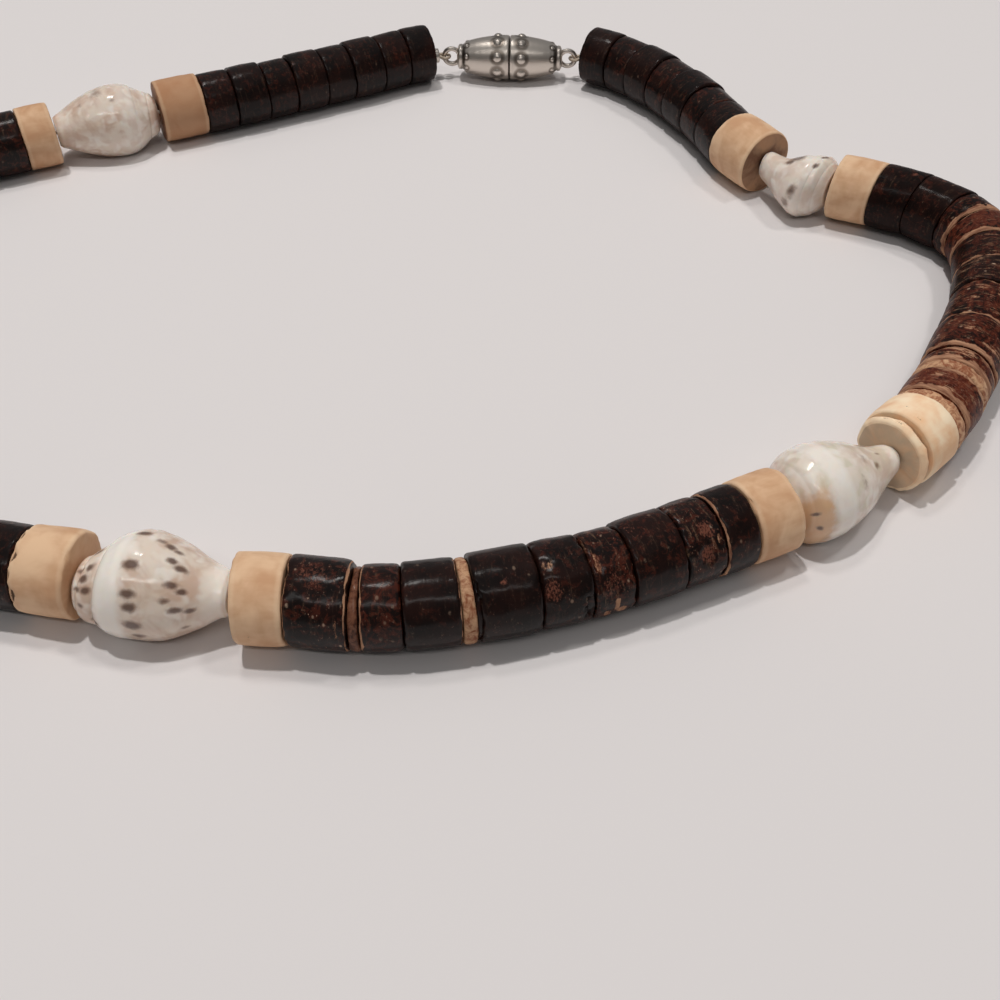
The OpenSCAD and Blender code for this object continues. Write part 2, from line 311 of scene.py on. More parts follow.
@dataclass(frozen=True)
class Look:
    """How one bead differs from its neighbours.

    Attributes:
        red: How reddish, 0 to 1; on wood how brown its end faces are, partly end grain and partly painted
            shade; on a disc how dark.
        streak: Strength of the fine lines round it, 0 to 1; on wood how brown it is past 0.2, on wood_9 and
            wood_10 partly painted shade.
        fleck: How many pale flecks, 0 to 1.
        rim_start: Width of the bared tan rim at its first end, in mm.
        rim_end: The same at its other end.
        wear: How uneven its rims are, 0 to 1.
        cream: How much creamier than the others its wood is, 0 to 1; partly paler wood, partly painted light
            on a bead that faces the lamp.
        shine: How polished it is, 0 to 1.
        marks: Its broken spots.
    """

    red: float = 0.3
    streak: float = 0.1
    fleck: float = 0.15
    rim_start: float = 0.0
    rim_end: float = 0.0
    wear: float = 0.4
    cream: float = 0.0
    shine: float = 0.4
    marks: tuple[Mark, ...] = ()


@dataclass(frozen=True)
class Row:
    """One bead or shell of the string.

    Attributes:
        kind: What it is.
        long: Length along the thread, in mm.
        wide: Diameter, in mm.
        turn: Extra turn about the upright, in degrees.
        lean: Angle between its two faces, in degrees.
        look: How it differs from the others.
    """

    kind: Kind
    long: float
    wide: float
    turn: float = 0.0
    lean: float = 0.0
    look: Look = Look()

    @property
    def end_radius(self) -> float:
        """Radius at its ends that the next piece keeps clear of, in mm."""
        return SHELL_END * self.wide if self.kind is Kind.SHELL else self.wide / 2

    @property
    def axis_height(self) -> float:
        """Height of its axis above the table, in mm."""
        return SHELL_AXIS if self.kind is Kind.SHELL else self.wide / 2


@dataclass
class Route:
    """The closed way that the string lies on the table.

    Attributes:
        corners: Points in mm that the way passes through, clockwise from the clasp.
        shift: Moves the middle of the outline's box to the origin, in mm.
        steps: Straight pieces between two corners.
        look_ahead: Distance each way over which a heading is taken, in mm.
        line: Ends of all the straight pieces, in mm.
        arc: Distance of each of these ends along the way, in mm.
    """

    corners: tuple[tuple[float, float], ...]
    shift: tuple[float, float] = (-0.66, 0.52)
    steps: int = 16
    look_ahead: float = 1.5
    line: Array = field(init=False)
    arc: Array = field(init=False)

    def __post_init__(self) -> None:
        """Draws the way: between corners b and c, half of 2b + (c-a)t + (2a-5b+4c-d)t^2 +
        (3b-a-3c+d)t^3, with a and d their neighbours."""
        a, b, c, d = (np.roll(self.corners, k, axis=0)[:, None] for k in (1, 0, -1, -2))
        t = (np.arange(self.steps) / self.steps)[None, :, None]
        cubic = 3 * b - a - 3 * c + d
        curve = 0.5 * (2 * b + (c - a) * t + (2 * a - 5 * b + 4 * c - d) * t**2 + cubic * t**3)
        line = curve.reshape(-1, 2)
        self.line = np.concatenate([line, line[:1]])
        self.arc = distances(self.line)

    @property
    def length(self) -> float:
        """Length of the whole way, in mm."""
        return float(self.arc[-1])

    def spot(self, s: Array | float) -> Array:
        """Point (x, y) in mm at a distance in mm along the way from the clasp's middle."""
        at = np.mod(s, self.length)
        return np.stack([np.interp(at, self.arc, self.line[:, k]) for k in (0, 1)], axis=-1) + self.shift

    def heading(self, s: float) -> float:
        """Direction of travel at a distance along the way, in degrees."""
        run = self.spot(s + self.look_ahead) - self.spot(s - self.look_ahead)
        return math.degrees(math.atan2(run[1], run[0]))


@dataclass(frozen=True)
class Seat:
    """Where a piece sits: its middle, and the directions along, to the left and up.

    Attributes:
        middle: Middle of its axis, in mm.
        facing: Direction of its axis seen from above, in degrees.
        start: Its first face: place along in mm, how much farther along it lies a mm to the
            left, and how far the bead's axis is drawn to the left there, in mm.
        end: The same for its other face.
    """

    middle: Array
    facing: float
    start: tuple[float, float, float] = (0.0, 0.0, 0.0)
    end: tuple[float, float, float] = (0.0, 0.0, 0.0)

    def place(self, local: Array) -> Array:
        """Turns points along, left and up into points of the row frame.

        Args:
            local: Points with three numbers last: along, left, up, in mm.

        Returns:
            The same points in the row frame, in mm.
        """
        a = math.radians(self.facing)
        along = np.array([math.cos(a), math.sin(a), 0.0])
        left = np.array([-math.sin(a), math.cos(a), 0.0])
        return self.middle + local @ np.stack([along, left, np.cross(along, left)])

    def rest(self, local: Array) -> Array:
        """Places points like `place`, and lifts them all if the lowest is below the table.

        Args:
            local: Points with three numbers last: along, left, up, in mm.

        Returns:
            The same points in the row frame, in mm.
        """
        points = self.place(local)
        points[..., 2] += max(0.0, -points[..., 2].min())
        return points

    def within(self, point: Array) -> tuple[float, float]:
        """Turns a point of the row frame back, seen from above.

        Args:
            point: The point, in mm.

        Returns:
            How far it lies along and to the left, in mm.
        """
        a = math.radians(self.facing)
        x, y = (point - self.middle)[:2]
        return x * math.cos(a) + y * math.sin(a), y * math.cos(a) - x * math.sin(a)


@dataclass(frozen=True)
class Layout:
    """Spreads the string's rows along the route, as the construction does.

    Attributes:
        route: The way on the table.
        groups: Rows of each node, in order.
        start: Distance from the clasp's middle to the first bead, in mm.
        play: Least room between two pieces, in mm.
        clear: Half of the room shown between two flush faces, in mm.
    """

    route: Route
    groups: tuple[tuple[str, tuple[Row, ...]], ...]
    start: float = 12.4
    play: float = 0.12
    clear: float = 0.02

    def seats(self) -> dict[str, list[tuple[Row, Seat]]]:
        """Finds every piece's seat.

        Returns:
            For each node, its rows with their seats.
        """
        rows = [row for _, group in self.groups for row in group]
        spare = self._share(rows, 0.0)
        spare += self._share(rows, spare)
        middles = self._middles(rows, spare)
        seats = [self._seat(row, s) for row, s in zip(rows, middles, strict=True)]
        for i in range(len(rows) - 1):
            end, start = self._join(rows[i], seats[i], rows[i + 1], seats[i + 1])
            seats[i] = replace(seats[i], end=end)
            seats[i + 1] = replace(seats[i + 1], start=start)
        queue = iter(seats)
        return {name: [(row, next(queue)) for row in group] for name, group in self.groups}

    def _share(self, rows: Sequence[Row], spare: float) -> float:
        """What each gap would get of the length left over, in mm."""
        end = self._middles(rows, spare)[-1] + rows[-1].long / 2
        return (self.route.length - self.start - end) / (len(rows) - 1)

    def _join(
        self, row: Row, seat: Seat, after: Row, following: Seat
    ) -> tuple[tuple[float, float, float], tuple[float, float, float]]:
        """Lays the two faces that meet on one plane, so that they are flush. Of the room
        between them the longer piece takes more. A face beside a shell stays square.

        Args:
            row: The piece before the gap.
            seat: Its seat.
            after: The piece after the gap.
            following: The seat of that one.

        Returns:
            The end of the first piece and the start of the second.
        """
        if Kind.SHELL in (row.kind, after.kind):
            return (row.long / 2, 0.0, 0.0), (-after.long / 2, 0.0, 0.0)
        bend = wrapped(seat.facing - following.facing, 180.0)
        slope = math.tan(math.radians(bend / 2))
        end = seat.place(np.array([row.long / 2, 0.0, 0.0]))
        start = following.place(np.array([-after.long / 2, 0.0, 0.0]))
        met = end + (start - end) * row.long / (row.long + after.long)
        x, y = seat.within(met)
        u, v = following.within(met)
        return (x - y * slope - self.clear, slope, y), (u + v * slope + self.clear, -slope, v)

    def _facing(self, row: Row, s: float) -> float:
        """Direction of a piece's axis, in degrees."""
        return self.route.heading(s) + row.turn

    def _seat(self, row: Row, s: float) -> Seat:
        """Finds a piece's seat, with square faces.

        Args:
            row: The piece.
            s: Distance of its middle along the route, in mm.

        Returns:
            The seat.
        """
        middle = np.array([*self.route.spot(s), row.axis_height])
        half = row.long / 2
        return Seat(middle, self._facing(row, s), (-half, 0.0, 0.0), (half, 0.0, 0.0))

    def _middles(self, rows: Sequence[Row], spare: float) -> list[float]:
        """Adds up the distances of the pieces' middles: half of each, the play, and room for
        the rims on the inside of the bend.

        Args:
            rows: The pieces, in order.
            spare: What each gap gets besides, in mm.

        Returns:
            The distance of each piece's middle along the route, in mm.
        """
        s = self.start + rows[0].long / 2
        places = [s]
        for row, after in itertools.pairwise(rows):
            near = (row.long + after.long) / 2 + self.play + spare
            bend = wrapped(self._facing(row, s) - self._facing(after, s + near), 180.0)
            opening = abs(bend - (row.lean + after.lean) / 2)
            s += near + min(row.end_radius, after.end_radius) * math.radians(opening)
            places.append(s)
        return places


class Graph:
    """Short ways to put the nodes of a material or of the world together."""

    def __init__(self, owner: bpy.types.Material | bpy.types.World) -> None:
        """Starts with no nodes.

        Args:
            owner: What the nodes belong to.
        """
        owner.use_nodes = True
        self.owner = owner
        self.tree = owner.node_tree
        self.tree.nodes.clear()

    def node(self, kind: str, inputs: Mapping, **settings: object) -> bpy.types.Node:
        """Adds a node.

        Args:
            kind: Its type.
            inputs: Socket name or index to a constant or to another node's socket.
            **settings: Its own properties.

        Returns:
            The node.
        """
        made = self.tree.nodes.new(kind)
        for key, value in settings.items():
            setattr(made, key, value)
        for key, value in inputs.items():
            if isinstance(value, Socket):
                self.tree.links.new(value, made.inputs[key])
            else:
                made.inputs[key].default_value = value
        return made

    def value(self, name: str) -> Socket:
        """A number stored with the mesh."""
        return self.node("ShaderNodeAttribute", {}, attribute_name=name).outputs["Fac"]

    def vector(self, name: str) -> Socket:
        """Three numbers stored with the mesh."""
        return self.node("ShaderNodeAttribute", {}, attribute_name=name).outputs["Vector"]

    def stretch(self, vector: Socket, by: tuple[float, float, float]) -> Socket:
        """A vector times a constant one."""
        return self.node("ShaderNodeVectorMath", {0: vector, 1: by}, operation="MULTIPLY").outputs[0]

    def noise(
        self,
        vector: Socket,
        scale: float,
        detail: float = 2.0,
        roughness: float = 0.5,
        seed: Socket | float = 0.0,
        distortion: float = 0.0,
    ) -> Socket:
        """Cloudy noise.

        Args:
            vector: Where it is read.
            scale: How many clouds it has in a unit of that.
            detail: How many finer layers it has.
            roughness: How strong the finer layers are.
            seed: What tells one piece's noise from another's.
            distortion: How much it is warped.

        Returns:
            A value from 0 to 1.
        """
        inputs = {"Vector": vector, "W": seed, "Scale": scale, "Detail": detail}
        inputs |= {"Roughness": roughness, "Distortion": distortion}
        return self.node("ShaderNodeTexNoise", inputs, noise_dimensions="4D").outputs[0]

    def cells(self, vector: Socket, scale: float, seed: Socket | float = 0.0) -> Socket:
        """Distance to the nearest of scattered points, in cells."""
        inputs = {"Vector": vector, "W": seed, "Scale": scale}
        return self.node("ShaderNodeTexVoronoi", inputs, voronoi_dimensions="4D").outputs["Distance"]

    def step(self, value: Socket, low: float, high: float, start: float = 0.0, end: float = 1.0) -> Socket:
        """Smooth step from `start` at `low` to `end` at `high`."""
        inputs = {"Value": value, "From Min": low, "From Max": high, "To Min": start, "To Max": end}
        return self.node("ShaderNodeMapRange", inputs, interpolation_type="SMOOTHSTEP").outputs["Result"]

    def math(self, operation: str, a: Socket | float, b: Socket | float, c: Socket | float = 0.0) -> Socket:
        """One sum on two or three numbers."""
        return self.node("ShaderNodeMath", {0: a, 1: b, 2: c}, operation=operation).outputs[0]

    def times(self, a: Socket | float, b: Socket | float) -> Socket:
        """Product of two numbers."""
        return self.math("MULTIPLY", a, b)

    def roughen(self, value: Socket, noise: Socket, by: float) -> Socket:
        """A value plus so many times a noise that is centred on 0 first."""
        return self.math("MULTIPLY_ADD", self.math("SUBTRACT", noise, 0.5), by, value)

    def mix(self, weight: Socket | float, a: Socket | str, b: Socket | str) -> Socket:
        """Colour `a` at weight 0, colour `b` at weight 1, each a socket or a display colour."""
        a, b = (linear(colour) if isinstance(colour, str) else colour for colour in (a, b))
        return self.node("ShaderNodeMix", {0: weight, 6: a, 7: b}, data_type="RGBA").outputs[2]

    def bump(self, height: Socket, depth_mm: float, strength: float = 1.0) -> Socket:
        """A normal bent by a height from 0 to 1 that stands for so many mm."""
        inputs = {"Height": height, "Distance": depth_mm * MM, "Strength": strength}
        return self.node("ShaderNodeBump", inputs).outputs["Normal"]

    def surface(self, inputs: Mapping) -> bpy.types.Material:
        """Ends the material with a principled surface.

        Args:
            inputs: Its sockets.

        Returns:
            The finished material.
        """
        shader = self.node("ShaderNodeBsdfPrincipled", inputs)
        self.node("ShaderNodeOutputMaterial", {"Surface": shader.outputs[0]})
        return self.owner


@dataclass(frozen=True)
class CoconutFinish:
    """Polished coconut shell: near black, with reddish patches, fine lines round the bead,
    pale flecks, and tan where the outer skin is bared; thin discs are tan all through."""

    dark: str = "#0d0504"
    brown: str = "#1e0c08"
    red: str = "#5a2719"
    umber: str = "#7a4832"
    line: str = "#ab8468"
    fleck: str = "#b79a84"
    tan_low: str = "#744a39"
    tan_high: str = "#bd9172"
    pink: str = "#6d4235"
    disc_low: str = "#94593f"
    disc_high: str = "#d6ab86"

    def build(self) -> bpy.types.Material:
        """Makes the material from the traits local, wrap, seed, red, streak, fleck, pale,
        pink, polish and disc.

        Returns:
            The finished material.
        """
        g = Graph(bpy.data.materials.new("coconut"))
        local, wrap, seed = g.vector("local"), g.vector("wrap"), g.value("seed")
        broad = g.noise(local, 0.3, 3.0, 0.55, seed, 0.4)
        patch = g.noise(local, 1.0, 6.0, 0.68, seed, 1.2)
        fibre = g.noise(g.stretch(wrap, (3.0, 0.45, 1.0)), 1.0, 4.0, 0.62, seed, 0.5)
        grain = g.noise(g.stretch(wrap, (2.0, 1.2, 1.0)), 3.0, 3.0, 0.7, seed)
        colour = g.mix(g.step(broad, 0.38, 0.64), self.dark, self.brown)
        lift = g.math("MULTIPLY_ADD", g.value("red"), 0.2, g.math("SUBTRACT", patch, 0.1))
        ruddy = g.times(g.step(lift, 0.46, 0.6), g.value("red"))
        colour = g.mix(ruddy, colour, self.red)
        worn = g.times(g.step(lift, 0.6, 0.74), g.value("streak"))
        colour = g.mix(worn, colour, self.umber)
        lines = g.times(g.step(fibre, 0.53, 0.7), g.value("streak"))
        lines = g.times(lines, g.step(grain, 0.35, 0.6))
        colour = g.mix(lines, colour, self.line)
        spots = g.cells(g.stretch(wrap, (1.6, 1.0, 1.0)), 0.8, seed)
        spots = g.times(g.step(spots, 0.24, 0.1), g.step(patch, 0.4, 0.55))
        dust = g.times(g.step(grain, 0.58, 0.74), g.step(patch, 0.44, 0.6))
        spots = g.times(g.math("MAXIMUM", spots, dust), g.value("fleck"))
        colour = g.mix(spots, colour, self.fleck)
        ragged = g.roughen(g.value("pink"), grain, 1.6)
        pinked = g.step(ragged, 0.34, 0.72)
        colour = g.mix(pinked, colour, self.pink)
        ragged = g.roughen(g.value("pale"), fibre, 1.0)
        ragged = g.roughen(ragged, grain, 1.0)
        bared = g.step(ragged, 0.34, 0.66)
        tan = g.mix(g.step(fibre, 0.3, 0.7), self.tan_low, self.tan_high)
        colour = g.mix(bared, colour, tan)
        disc = g.mix(g.step(patch, 0.36, 0.62), self.disc_low, self.disc_high)
        colour = g.mix(g.value("disc"), colour, disc)
        matt = g.math("MAXIMUM", g.math("MAXIMUM", bared, pinked), g.value("disc"))
        matt = g.math("MAXIMUM", matt, g.times(worn, 0.8))
        height = g.math("MULTIPLY_ADD", fibre, 0.6, g.times(grain, 0.5))
        height = g.math("SUBTRACT", height, g.times(spots, 0.5))
        return g.surface(
            {
                "Base Color": colour,
                "Roughness": 0.55,
                "Specular IOR Level": 0.08,
                "Coat Weight": g.times(g.step(matt, 0.0, 1.0, 0.9, 0.1), g.value("polish")),
                "Coat Roughness": 0.18,
                "Coat IOR": 1.45,
                "Coat Normal": g.bump(height, 0.03, 0.6),
                "Normal": g.bump(height, 0.06, 0.8),
            }
        )


@dataclass(frozen=True)
class WoodFinish:
    """Pale smooth wood with soft grain and browner end faces, partly end grain and partly painted shade; some
    beads are creamier, partly painted light.
    """

    low: str = "#cb9d78"
    high: str = "#e4bf9b"
    # Creamier wood: partly its own paler tone, partly painted light on beads that face the lamp.
    cream_low: str = "#f1c297"
    cream_high: str = "#ffe8c8"
    # Browner wood, partly its own tone and partly painted shade on wood_9 and wood_10.
    brown: str = "#a2714f"
    rim: str = "#efd7b6"
    # Brown of the end faces: partly end grain, partly painted shade on faces turned from the light.
    end: str = "#6d4634"
    # Painted shade in the chips, cracks and bites of the wood beads.
    chip_shade: str = "#3a2418"

    def build(self) -> bpy.types.Material:
        """Makes the material from the traits local, wrap, seed, cream, streak, red, face,
        rim and pink.

        Returns:
            The finished material.
        """
        g = Graph(bpy.data.materials.new("pale_wood"))
        local, wrap, seed = g.vector("local"), g.vector("wrap"), g.value("seed")
        cloud = g.noise(local, 0.32, 3.0, 0.5, seed, 0.5)
        grain = g.noise(g.stretch(wrap, (0.35, 2.6, 1.0)), 1.0, 4.0, 0.6, seed, 0.4)
        fine = g.noise(g.stretch(wrap, (1.0, 4.0, 1.0)), 2.0, 3.0, 0.6, seed)
        tone = g.step(g.roughen(cloud, grain, 0.14), 0.3, 0.68)
        plain = g.mix(tone, self.low, self.high)
        # Lighter cream copy of the wood, partly painted light, as strong as cream says.
        creamy_and_lit = g.mix(tone, self.cream_low, self.cream_high)
        colour = g.mix(g.value("cream"), plain, creamy_and_lit)
        # Browner as streak says past 0.2; on wood_9 and wood_10 partly painted shade.
        colour = g.mix(g.step(g.value("streak"), 0.2, 1.0), colour, self.brown)
        ragged = g.roughen(g.value("rim"), fine, 0.5)
        colour = g.mix(g.step(ragged, 0.3, 0.9, 0.0, 0.2), colour, self.rim)
        # Painted shade on the end faces, over a browner end grain, as strong as red says.
        end_grain_and_shade = g.times(g.step(g.value("face"), 0.3, 0.9), g.value("red"))
        end_grain_and_shade = g.times(end_grain_and_shade, g.step(cloud, 0.35, 0.65, 0.3, 1.0))
        colour = g.mix(end_grain_and_shade, colour, self.end)
        # Painted shade in chips and cracks, as strong as the marks' pink.
        ragged = g.roughen(g.value("pink"), fine, 0.8)
        colour = g.mix(g.step(ragged, 0.35, 0.65, 0.0, 0.8), colour, self.chip_shade)
        height = g.math("MULTIPLY_ADD", grain, 0.6, g.times(fine, 0.4))
        return g.surface(
            {
                "Base Color": colour,
                "Roughness": g.math("MULTIPLY_ADD", cloud, 0.2, 0.5),
                "Specular IOR Level": 0.25,
                "Normal": g.bump(height, 0.02, 0.5),
            }
        )


@dataclass(frozen=True)
class ShellFinish:
    """Glossy cream shell with a white shoulder band, beige clouds and brown dots."""

    cream: str = "#e6d7c8"
    white: str = "#f6efe6"
    beige: str = "#c8a791"
    olive: str = "#cfc3a6"
    tan: str = "#dab28d"
    dot: str = "#513529"
    dot_soft: str = "#8d7060"

    def build(self) -> bpy.types.Material:
        """Makes the material from the traits local, wrap, seed, dot, band, cloud and warm.

        Returns:
            The finished material.
        """
        g = Graph(bpy.data.materials.new("whelk"))
        local, wrap, seed = g.vector("local"), g.vector("wrap"), g.value("seed")
        broad = g.noise(local, 0.3, 3.0, 0.55, seed, 0.6)
        mottle = g.noise(local, 0.6, 3.0, 0.55, seed, 0.5)
        fine = g.noise(local, 2.0, 2.0, 0.5, seed)
        spiral = g.noise(g.stretch(wrap, (5.0, 0.25, 1.0)), 1.0, 2.0, 0.5, seed)
        colour = g.mix(g.step(broad, 0.4, 0.6, 0.0, 0.75), self.cream, self.beige)
        clouds = g.times(g.step(mottle, 0.46, 0.64), g.value("cloud"))
        colour = g.mix(clouds, colour, self.olive)
        blots = g.noise(local, 0.7, 1.0, 0.5, g.math("ADD", seed, 7.0), 0.4)
        colour = g.mix(g.step(blots, 0.48, 0.7, 0.0, 0.6), colour, self.white)
        ragged = g.roughen(g.value("warm"), mottle, 1.2)
        colour = g.mix(g.step(ragged, 0.2, 0.8), colour, self.tan)
        colour = g.mix(g.value("band"), colour, self.white)
        ragged = g.roughen(g.value("dot"), fine, 0.5)
        ragged = g.roughen(ragged, mottle, 0.4)
        colour = g.mix(g.step(ragged, 0.1, 0.5, 0.0, 0.65), colour, self.dot_soft)
        colour = g.mix(g.step(ragged, 0.34, 0.8, 0.0, 0.75), colour, self.dot)
        height = g.math("MULTIPLY_ADD", spiral, 0.5, g.times(mottle, 0.5))
        return g.surface(
            {
                "Base Color": colour,
                "Roughness": g.math("MULTIPLY_ADD", mottle, 0.14, 0.11),
                "IOR": 1.68,
                "Subsurface Weight": 0.3,
                "Subsurface Radius": (1.0, 0.6, 0.4),
                "Subsurface Scale": 0.001,
                "Normal": g.bump(height, 0.03, 0.6),
            }
        )


@dataclass(frozen=True)
class SilverFinish:
    """Worn silver plate, greyer in its grooves."""

    bright: str = "#d6ccc2"
    dull: str = "#8c8279"
    roughness: float = 0.28

    def build(self) -> bpy.types.Material:
        """Makes the material from the traits local and groove.

        Returns:
            The finished material.
        """
        g = Graph(bpy.data.materials.new("silver_plate"))
        local = g.vector("local")
        cloud = g.noise(local, 0.9, 4.0, 0.6)
        dirt = g.roughen(g.value("groove"), cloud, 0.6)
        colour = g.mix(g.step(dirt, 0.1, 0.9), self.bright, self.dull)
        return g.surface(
            {
                "Base Color": colour,
                "Metallic": 1.0,
                "Roughness": g.math("MULTIPLY_ADD", cloud, 0.16, self.roughness),
                "Normal": g.bump(g.noise(local, 5.0, 3.0), 0.01, 0.5),
            }
        )


@dataclass(frozen=True)
class CordFinish:
    """Waxed twisted cord."""

    low: str = "#8f7d68"
    high: str = "#cdbfae"

    def build(self) -> bpy.types.Material:
        """Makes the material from the trait wrap.

        Returns:
            The finished material.
        """
        g = Graph(bpy.data.materials.new("waxed_cord"))
        twist = g.noise(g.stretch(g.vector("wrap"), (6.0, 3.0, 1.0)), 1.0, 2.0)
        colour = g.mix(g.step(twist, 0.3, 0.7), self.low, self.high)
        return g.surface({"Base Color": colour, "Roughness": 0.6})


@dataclass(frozen=True)
class TableFinish:
    """A plain pale stone top that fades into the backdrop far from the choker."""

    colour: str = "#e1dcdb"
    backdrop: str = "#d8d4d2"
    roughness: float = 0.7
    fade: tuple[float, float] = (0.25, 0.7)

    def build(self) -> bpy.types.Material:
        """Makes the material.

        Returns:
            The finished material.
        """
        g = Graph(bpy.data.materials.new("pale_top"))
        inputs = {
            "Base Color": linear(self.colour),
            "Roughness": self.roughness,
            "Specular IOR Level": 0.15,
        }
        top = g.node("ShaderNodeBsdfPrincipled", inputs)
        place = g.node("ShaderNodeTexCoord", {}).outputs["Object"]
        away = g.node("ShaderNodeVectorMath", {0: place}, operation="LENGTH").outputs["Value"]
        seen = g.node("ShaderNodeLightPath", {}).outputs["Is Camera Ray"]
        far = g.times(g.step(away, *self.fade), seen)
        backdrop = g.node("ShaderNodeEmission", {"Color": linear(self.backdrop)})
        both = g.node("ShaderNodeMixShader", {0: far, 1: top.outputs[0], 2: backdrop.outputs[0]})
        g.node("ShaderNodeOutputMaterial", {"Surface": both.outputs[0]})
        return g.owner


@dataclass
class BeadShape:
    """A drilled disc bead with worn rims.

    Attributes:
        row: Its sizes and looks.
        seat: Where it sits.
        number: Its place on the string, which seeds its noise.
        rim: Round of its outer rims, in mm.
        belly: How much its middle swells, in mm.
        columns: Points round it.
        wall_rows: Points along its outer wall.
        bore: Radius of its hole, in mm.
        bore_rim: Round of the rims of its hole, in mm.
        lump: Height of its slow lumps, in mm.
        worn_lump: What a unit of wear past `even_wear` adds to it, in mm.
        even_wear: Wear up to which a bead keeps its even form.
        fine_lump: Height of its fine lumps, in mm.
        gnaw: Deepest rim wear, in mm.
        fade: Distance over which rim wear dies away, in mm.
        ragged: How uneven a mark's edge is, in its half widths.
    """

    row: Row
    seat: Seat
    number: int
    rim: float
    belly: float
    columns: int
    wall_rows: int
    bore: float = 1.0
    bore_rim: float = 0.2
    lump: float = 0.07
    worn_lump: float = 0.14
    even_wear: float = 0.45
    fine_lump: float = 0.02
    gnaw: float = 0.4
    fade: float = 0.45
    ragged: float = 0.35

    def profile(self) -> tuple[Array, ...]:
        """Half section of the bead, a closed loop: the outer wall, then a rim's quarter circle,
        a face and the hole's quarter circle, then these three back on the other side.

        Returns:
            Columns with the place along, the radius, the outward normal's two parts, and the
            distance from the nearer outer rim.
        """
        half, radius, hole = self.row.long / 2, self.row.wide / 2, self.bore + self.bore_rim
        rim, small = min(self.rim, self.row.long / 3), self.bore_rim
        quarter = np.linspace(0.0, np.pi / 2, 7)
        wall = (half - rim) * np.sin(np.linspace(-np.pi / 2, np.pi / 2, self.wall_rows))
        face = np.linspace(radius - rim, hole, 8)[1:-1]
        (sin, cos), (sin_in, cos_in) = ((np.sin(q), np.cos(q)) for q in (quarter[1:], quarter[::2]))
        sections = (
            (wall, radius, 0.0, 1.0),
            (half - rim + rim * sin, radius - rim + rim * cos, sin, cos),
            (half, face, 1.0, 0.0),
            (half - small + small * cos_in, hole - small * sin_in, cos_in, -sin_in),
        )
        t, r, nt, nr = np.concatenate([spread(*section) for section in sections]).T
        back = slice(None, self.wall_rows - 1, -1)
        t, nt = (np.concatenate([q, -q[back]]) for q in (t, nt))
        r, nr = (np.concatenate([q, q[back]]) for q in (r, nr))
        rim_distance = np.where(nr > 0.5, half - np.abs(t), radius - r)
        return tuple(q[:, None] for q in (t, r, nt, nr, rim_distance))

    def patch(self) -> Patch:
        """Builds the bead: the half section turned about its axis, then pushed along its
        normals by slow noise, by rim wear that fades away from the rims, and by its marks.

        Returns:
            The surface with the traits that its finish reads.
        """
        row, look = self.row, self.row.look
        noise, shift = Noise(self.number * 7 + 3), np.array([self.number * 3.1, 0.0, 0.0])
        t, r, nt, nr, rim_distance = self.profile()
        theta = circle(self.columns, shift=SEAM_TURN)[None, :]
        local, normal = turned(t, r, theta), turned(nt, nr, theta)
        half, on_wall = row.long / 2, ease(nr, 0.2, 0.7)
        lump = self.lump + self.worn_lump * max(0.0, look.wear - self.even_wear)
        push = lump * noise.layers(local * 0.28 + shift) + self.fine_lump * noise(local * 1.3 + shift)
        push += self.belly * on_wall * (1.0 - (t / half) ** 2)
        by_side = spread(np.cos(theta) * 2.2, np.sin(theta) * 2.2, np.sign(t) * 4.0)
        gnawed = np.clip(noise.layers(by_side + shift[0]) + 0.12, 0.0, 1.0)
        gnawed *= np.exp(-((np.clip(rim_distance, 0.0, None) / self.fade) ** 2))
        push -= self.gnaw * look.wear * gnawed
        pale, pink = self._bared(t, rim_distance, on_wall, noise(by_side * 2.0 + 9.0)), np.zeros_like(push)
        ragged, open_side = self.ragged * noise(local * 1.6 + shift), ease(nr, 0.0, 0.15)
        for mark in look.marks:
            turn = wrapped(theta - math.radians(mark.angle))
            away = np.hypot(turn * row.wide / 2 / mark.width, (t - mark.along * half) / mark.length)
            spot = ease(away + ragged, 1.15, 0.55) * open_side
            push -= mark.depth * spot
            pale, pink = np.maximum(pale, mark.pale * spot), np.maximum(pink, mark.pink * spot)
        local = self._fitted(local + push[..., None] * normal, 0.5 + 0.5 * t / half)
        is_disc = float(row.kind is Kind.DISC)
        even = {"seed": self.number * 1.7, "disc": is_disc * (1.0 - look.red), "polish": look.shine}
        even |= {name: getattr(look, name) for name in ("red", "streak", "fleck", "cream")}
        traits = {name: np.full_like(push, value) for name, value in even.items()}
        traits |= {"local": local, "wrap": spread(t, theta * row.wide / 2, r), "pale": pale, "pink": pink}
        traits["face"] = 1.0 - ease(nr, 0.05, 0.5) + 0.0 * push
        traits["rim"] = ease(rim_distance, 0.9, 0.2) * on_wall + 0.0 * push
        return Patch(self.seat.rest(local), traits)

    def _fitted(self, local: Array, part: Array) -> Array:
        """Moves the bead's points so that its ends lie on the seat's two faces.

        Args:
            local: Points between square faces, in mm.
            part: Part of the way from the first face to the other.

        Returns:
            The moved points.
        """
        half = self.row.long / 2
        (start, start_slope, start_side), (end, end_slope, end_side) = self.seat.start, self.seat.end
        local[..., 1] += part * end_side + (1.0 - part) * start_side
        local[..., 0] += part * (end - half + end_slope * local[..., 1])
        local[..., 0] += (1.0 - part) * (start + half + start_slope * local[..., 1])
        return local

    def _bared(self, t: Array, rim_distance: Array, on_wall: Array, ragged: Array) -> Array:
        """Tan rims of the wall.

        Args:
            t: Place along, in mm.
            rim_distance: Distance from the nearer rim, in mm.
            on_wall: Whether it is on the wall, 0 to 1.
            ragged: Noise that makes their widths uneven.

        Returns:
            How much tan is bared, 0 to 1.
        """
        pale, look = np.zeros_like(ragged), self.row.look
        for width, side in ((look.rim_start, -1.0), (look.rim_end, 1.0)):
            if width > 0.0:
                uneven = np.maximum(width * (1.0 + 0.8 * ragged), 0.05)
                at_end = (np.sign(t) == side) * on_wall * ease(rim_distance, 1.3, 0.5)
                pale = np.maximum(pale, at_end * ease(rim_distance / uneven, 1.4, 0.6))
        return pale


